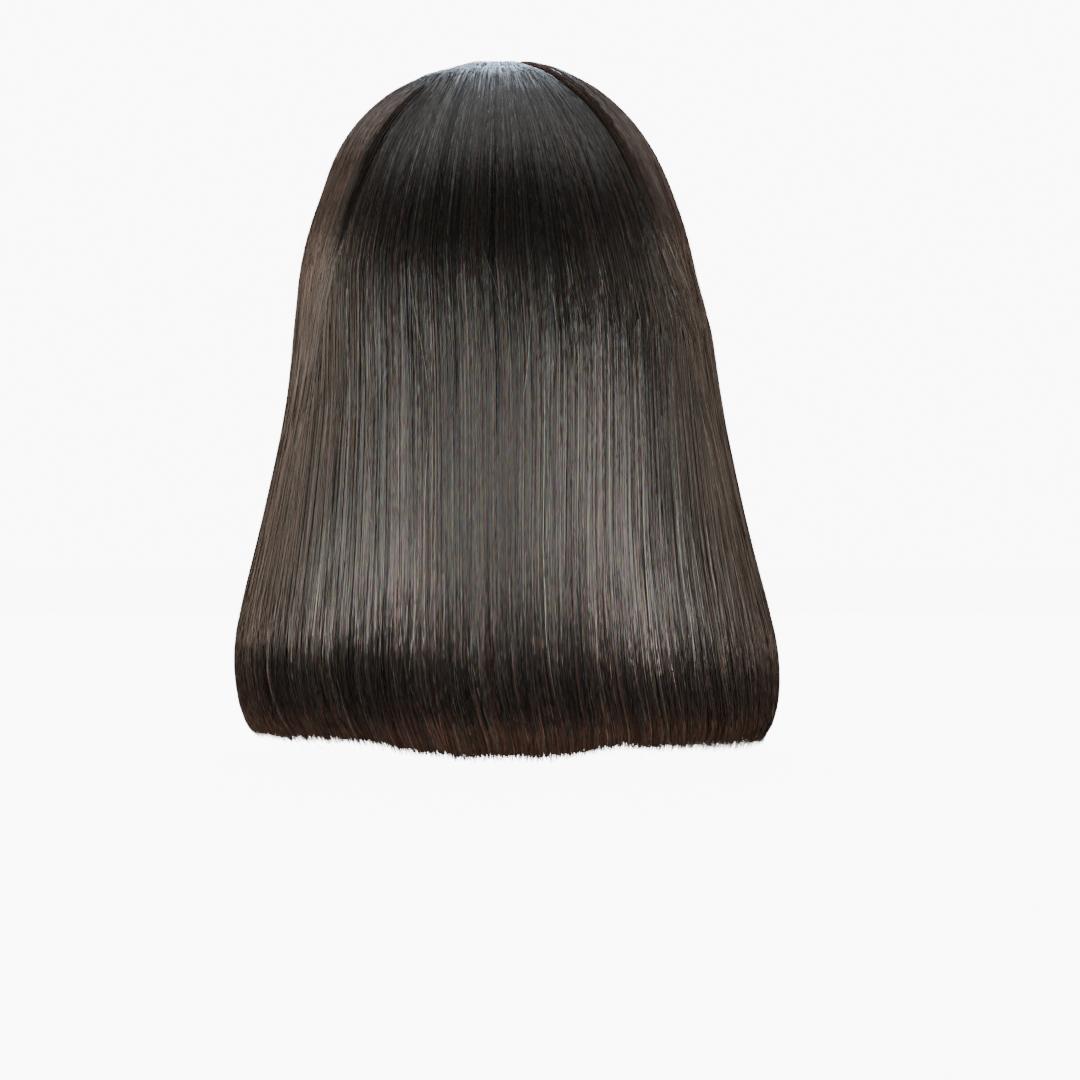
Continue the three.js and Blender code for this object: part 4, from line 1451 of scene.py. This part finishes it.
class WIG_OT_cap(bpy.types.Operator):
    """Make the net cap, its bound rim and the tape round the lace panel"""

    bl_idname = "wig.cap"
    bl_label = "Cap"

    def execute(self, context):
        scene = context.scene
        sizes, colours = scene.wig_sizes, scene.wig_colours
        net = material_named("cap_net", net_material, colours)
        band = material_named("band", band_material, colours)
        across, down = CAP_GRID
        outline = panel_outline(sizes, 0, across)
        brow = brow_angle(sizes, sizes.panel_width / 2)
        rim = rim_direction(np.linspace(brow, -brow, across))
        way = np.linspace(0, 1, down)
        direction = unit(outline[:, None] * (1 - way)[None, :, None] + rim[:, None] * way[None, :, None])
        weft = np.clip(np.sin(way * WEFT_ROWS * 2 * math.pi), 0, 1) ** WEFT_POWER
        weft = weft * smooth(way, *WEFT_STARTS) * (1 - smooth(way, *WEFT_ENDS))
        room = np.linalg.norm(outline - rim, axis=1) * sizes.head_depth
        raised = WEFT_HEIGHT * weft[None, :] * smooth(room, *WEFT_ROOM)[:, None]
        outer = off_head(sizes, direction, sizes.cap_wall)
        inner = off_head(sizes, direction, -raised)
        points = np.concatenate([outer.reshape(-1, 3), inner.reshape(-1, 3)])
        around = np.linspace(0, RIM_LENGTH, across)[:, None] + 0 * way[None, :]
        uv = np.column_stack([around.ravel(), (way[None, :] * room[:, None]).ravel()])
        faces = wall_faces(across, down)
        belongs(mesh_piece("cap_net", points, faces, net, np.tile(uv, (2, 1))), "cap")
        half_height = sizes.rim_height / 2
        turn = np.linspace(brow, -brow, RIM_PLACES)
        middle = unit(rim_direction(turn) + np.array([0, 0, half_height / sizes.head_depth]))
        path = off_head(sizes, middle, (2 * sizes.cap_wall - sizes.rim_wall) / 2)
        points, faces, uv = carried(path, middle, oval(half_height, sizes.rim_wall / 2))
        belongs(mesh_piece("rim_band", points, faces, band, uv), "cap")
        path = off_head(sizes, outline, 0.0)
        points, faces, uv = carried(path, outline, oval(*TAPE_HALF))
        belongs(mesh_piece("panel_tape", points, faces, band, uv), "cap")
        return {"FINISHED"}


class WIG_OT_lace(bpy.types.Operator):
    """Make the lace panel under the parting"""

    bl_idname = "wig.lace"
    bl_label = "Lace panel"

    def execute(self, context):
        scene = context.scene
        sizes, colours = scene.wig_sizes, scene.wig_colours
        lace = material_named("lace", lace_material, colours)
        across, down = LACE_GRID
        half = sizes.panel_width / 2
        x = np.linspace(half, -half, across) * LACE_WITHIN
        edge = rim_direction(np.linspace(math.pi, math.pi / 2, BROW_PLACES))
        front = np.interp(np.abs(x), edge[:, 0] * sizes.head_half_width, edge[:, 1] * sizes.head_half_length)
        into = np.maximum(np.abs(x) - (half - sizes.panel_corner), 0)
        back = sizes.panel_back - sizes.panel_corner + np.sqrt(sizes.panel_corner ** 2 - into ** 2)
        y = lerp(back[:, None], front[:, None], np.linspace(0, 1, down)[None, :])
        direction = on_sphere(x[:, None] / sizes.head_half_width + 0 * y, y / sizes.head_half_length)
        outer = off_head(sizes, direction, LACE_WALL)
        inner = off_head(sizes, direction, 0.0)
        points = np.concatenate([outer.reshape(-1, 3), inner.reshape(-1, 3)])
        uv = np.tile(np.column_stack([(x[:, None] + 0 * y).ravel(), y.ravel()]), (2, 1))
        net = mesh_piece("lace_panel_net", points, wall_faces(across, down), lace, uv)
        belongs(net, "lace_panel")
        brow = brow_angle(sizes, half)
        turn = np.linspace(brow, 2 * math.pi - brow, FOLD_PLACES)
        folded = np.where(turn > math.pi, turn - 2 * math.pi, turn)
        middle = unit(rim_direction(folded) + np.array([0, 0, LACE_FOLD / sizes.head_depth]))
        path = off_head(sizes, middle, LACE_WALL / 2)
        points, faces, uv = carried(path, middle, oval(LACE_FOLD, LACE_WALL))
        belongs(mesh_piece("lace_fold", points, faces, lace, uv), "lace_panel")
        return {"FINISHED"}


class WIG_OT_stage(bpy.types.Operator):
    """Set the floor, the lights and the camera"""

    bl_idname = "wig.stage"
    bl_label = "Stage"

    def execute(self, context):
        signs = np.array([(-1, -1), (1, -1), (1, 1), (-1, 1)])
        corners = np.column_stack([signs * FLOOR_HALF, np.full(len(signs), LOWEST - FLOOR_BELOW)])
        plain = floor_material(context.scene.wig_colours)
        floor = mesh_piece("floor", corners, np.array([[0, 1, 2, 3]]), plain)
        floor.visible_diffuse = False
        floor.visible_glossy = False
        set_world(context.scene)
        for light in LIGHTS:
            add_light(context, light)
        add_camera(context)
        return {"FINISHED"}


def set_world(scene):
    """A white background to look at, and a dim one to light by."""
    world = bpy.data.worlds.new("studio")
    world.use_nodes = True
    tree = world.node_tree
    tree.nodes.clear()
    path = tree.nodes.new("ShaderNodeLightPath")
    mix = tree.nodes.new("ShaderNodeMixShader")
    output = tree.nodes.new("ShaderNodeOutputWorld")
    tree.links.new(path.outputs["Is Camera Ray"], mix.inputs[0])
    for place, strength in ((1, STUDIO_FILL), (2, BACKGROUND_GLOW)):
        shown = tree.nodes.new("ShaderNodeBackground")
        shown.inputs["Color"].default_value = rgba(STUDIO_WHITE)
        shown.inputs["Strength"].default_value = strength
        tree.links.new(shown.outputs[0], mix.inputs[place])
    tree.links.new(mix.outputs[0], output.inputs[0])
    scene.world = world


def aim(thing, place, target):
    """Puts a light or the camera in its place, looking at the target."""
    thing.location = place
    thing.rotation_euler = (Vector(target) - Vector(place)).to_track_quat("-Z", "Y").to_euler()


class Light(NamedTuple):
    """A rectangular soft light: its place, what it faces, its two sizes in metres, its power in watts and
    colour."""

    name: str
    place: tuple
    target: tuple
    size: tuple
    power: float
    colour: tuple


LIGHTS = (
    Light("key", (0.0, 2.6, -0.20), (0.0, 0.0, -0.22), (2.4, 0.72), 16.0, (1.0, 0.97, 0.93)),
    Light("low", (0.0, 2.5, -0.9), (0.0, 0.0, -0.25), (2.4, 0.6), 1.7, (1.0, 0.97, 0.93)),
    Light("wing_left", (2.1, 1.36, -0.16), (0.0, 0.0, -0.22), (2.2, 0.5), 41.0, (1.0, 0.97, 0.93)),
    Light("wing_right", (-2.1, 1.36, -0.11), (0.0, 0.0, -0.22), (2.2, 0.5), 41.0, (1.0, 0.97, 0.93)),
    Light("overhead", (0.0, -0.1, 1.4), (0.0, -0.1, 0.0), (3.0, 1.6), 19.0, (0.93, 0.97, 1.0)),
    Light("roots", (0.0, -1.35, 1.55), (0.0, 0.0, 0.0), (0.4, 1.6), 22.0, (0.62, 0.78, 1.0)),
    Light("crown_left", (1.1, -1.0, 0.9), (0.0, 0.0, -0.05), (0.8, 0.8), 2.0, (1.0, 0.86, 0.76)),
    Light("crown_right", (-1.1, -0.9, 0.9), (0.0, 0.0, -0.05), (0.8, 0.8), 1.6, (1.0, 0.86, 0.76)),
    Light("rim_left", (1.6, -0.6, 0.1), (0.0, 0.0, -0.15), (0.5, 0.9), 8.5, (1.0, 0.80, 0.64)),
    Light("rim_right", (-1.6, -0.6, 0.1), (0.0, 0.0, -0.15), (0.5, 0.9), 5.0, (1.0, 0.80, 0.64)),
    Light("front", (0.0, -2.4, -0.35), (0.0, 0.0, -0.2), (2.4, 1.2), 14.0, (1.0, 0.98, 0.96)),
)


def add_light(context, light):
    lamp = bpy.data.lights.new(light.name, "AREA")
    lamp.shape = "RECTANGLE"
    lamp.size, lamp.size_y = light.size
    lamp.energy = light.power
    lamp.color = light.colour
    holder = bpy.data.objects.new(light.name, lamp)
    holder.visible_camera = False
    context.scene.collection.objects.link(holder)
    aim(holder, light.place, light.target)


def add_camera(context):
    """A level camera behind the wig, a little to the wearer's right, at about two thirds of the way
    down."""
    lens = bpy.data.cameras.new("camera")
    lens.sensor_width = SENSOR
    lens.lens = LENS
    lens.clip_start = 0.05
    camera = bpy.data.objects.new("camera", lens)
    context.scene.collection.objects.link(camera)
    x, _, z = CAMERA_PLACE
    aim(camera, CAMERA_PLACE, (x, 0.0, z))
    context.scene.camera = camera


class WIG_PT_pieces(bpy.types.Panel):
    """The wig's pieces, in the order they are made"""

    bl_idname = "WIG_PT_pieces"
    bl_label = "Bob wig"
    bl_space_type = "VIEW_3D"
    bl_region_type = "UI"
    bl_category = "Wig"

    def draw(self, context):
        for operator in OPERATORS:
            self.layout.operator(operator.bl_idname)


OPERATORS = (WIG_OT_stage, WIG_OT_cap, WIG_OT_lace, WIG_OT_hair_back, WIG_OT_hair_sides, WIG_OT_hair_nape)
GROUPS = {"wig_sizes": WigSizes, "wig_hair": WigHair, "wig_colours": WigColours}


def register():
    for group in GROUPS.values():
        bpy.utils.register_class(group)
    for name, group in GROUPS.items():
        setattr(bpy.types.Scene, name, PointerProperty(type=group))
    for operator in OPERATORS:
        bpy.utils.register_class(operator)
    bpy.utils.register_class(WIG_PT_pieces)


def unregister():
    bpy.utils.unregister_class(WIG_PT_pieces)
    for operator in reversed(OPERATORS):
        bpy.utils.unregister_class(operator)
    for name in GROUPS:
        delattr(bpy.types.Scene, name)
    for group in reversed(list(GROUPS.values())):
        bpy.utils.unregister_class(group)


def main():
    register()
    bpy.ops.wig.stage()
    bpy.ops.wig.cap()
    bpy.ops.wig.lace()
    bpy.ops.wig.hair_back()
    bpy.ops.wig.hair_sides()
    bpy.ops.wig.hair_nape()


if __name__ == "__main__":
    main()
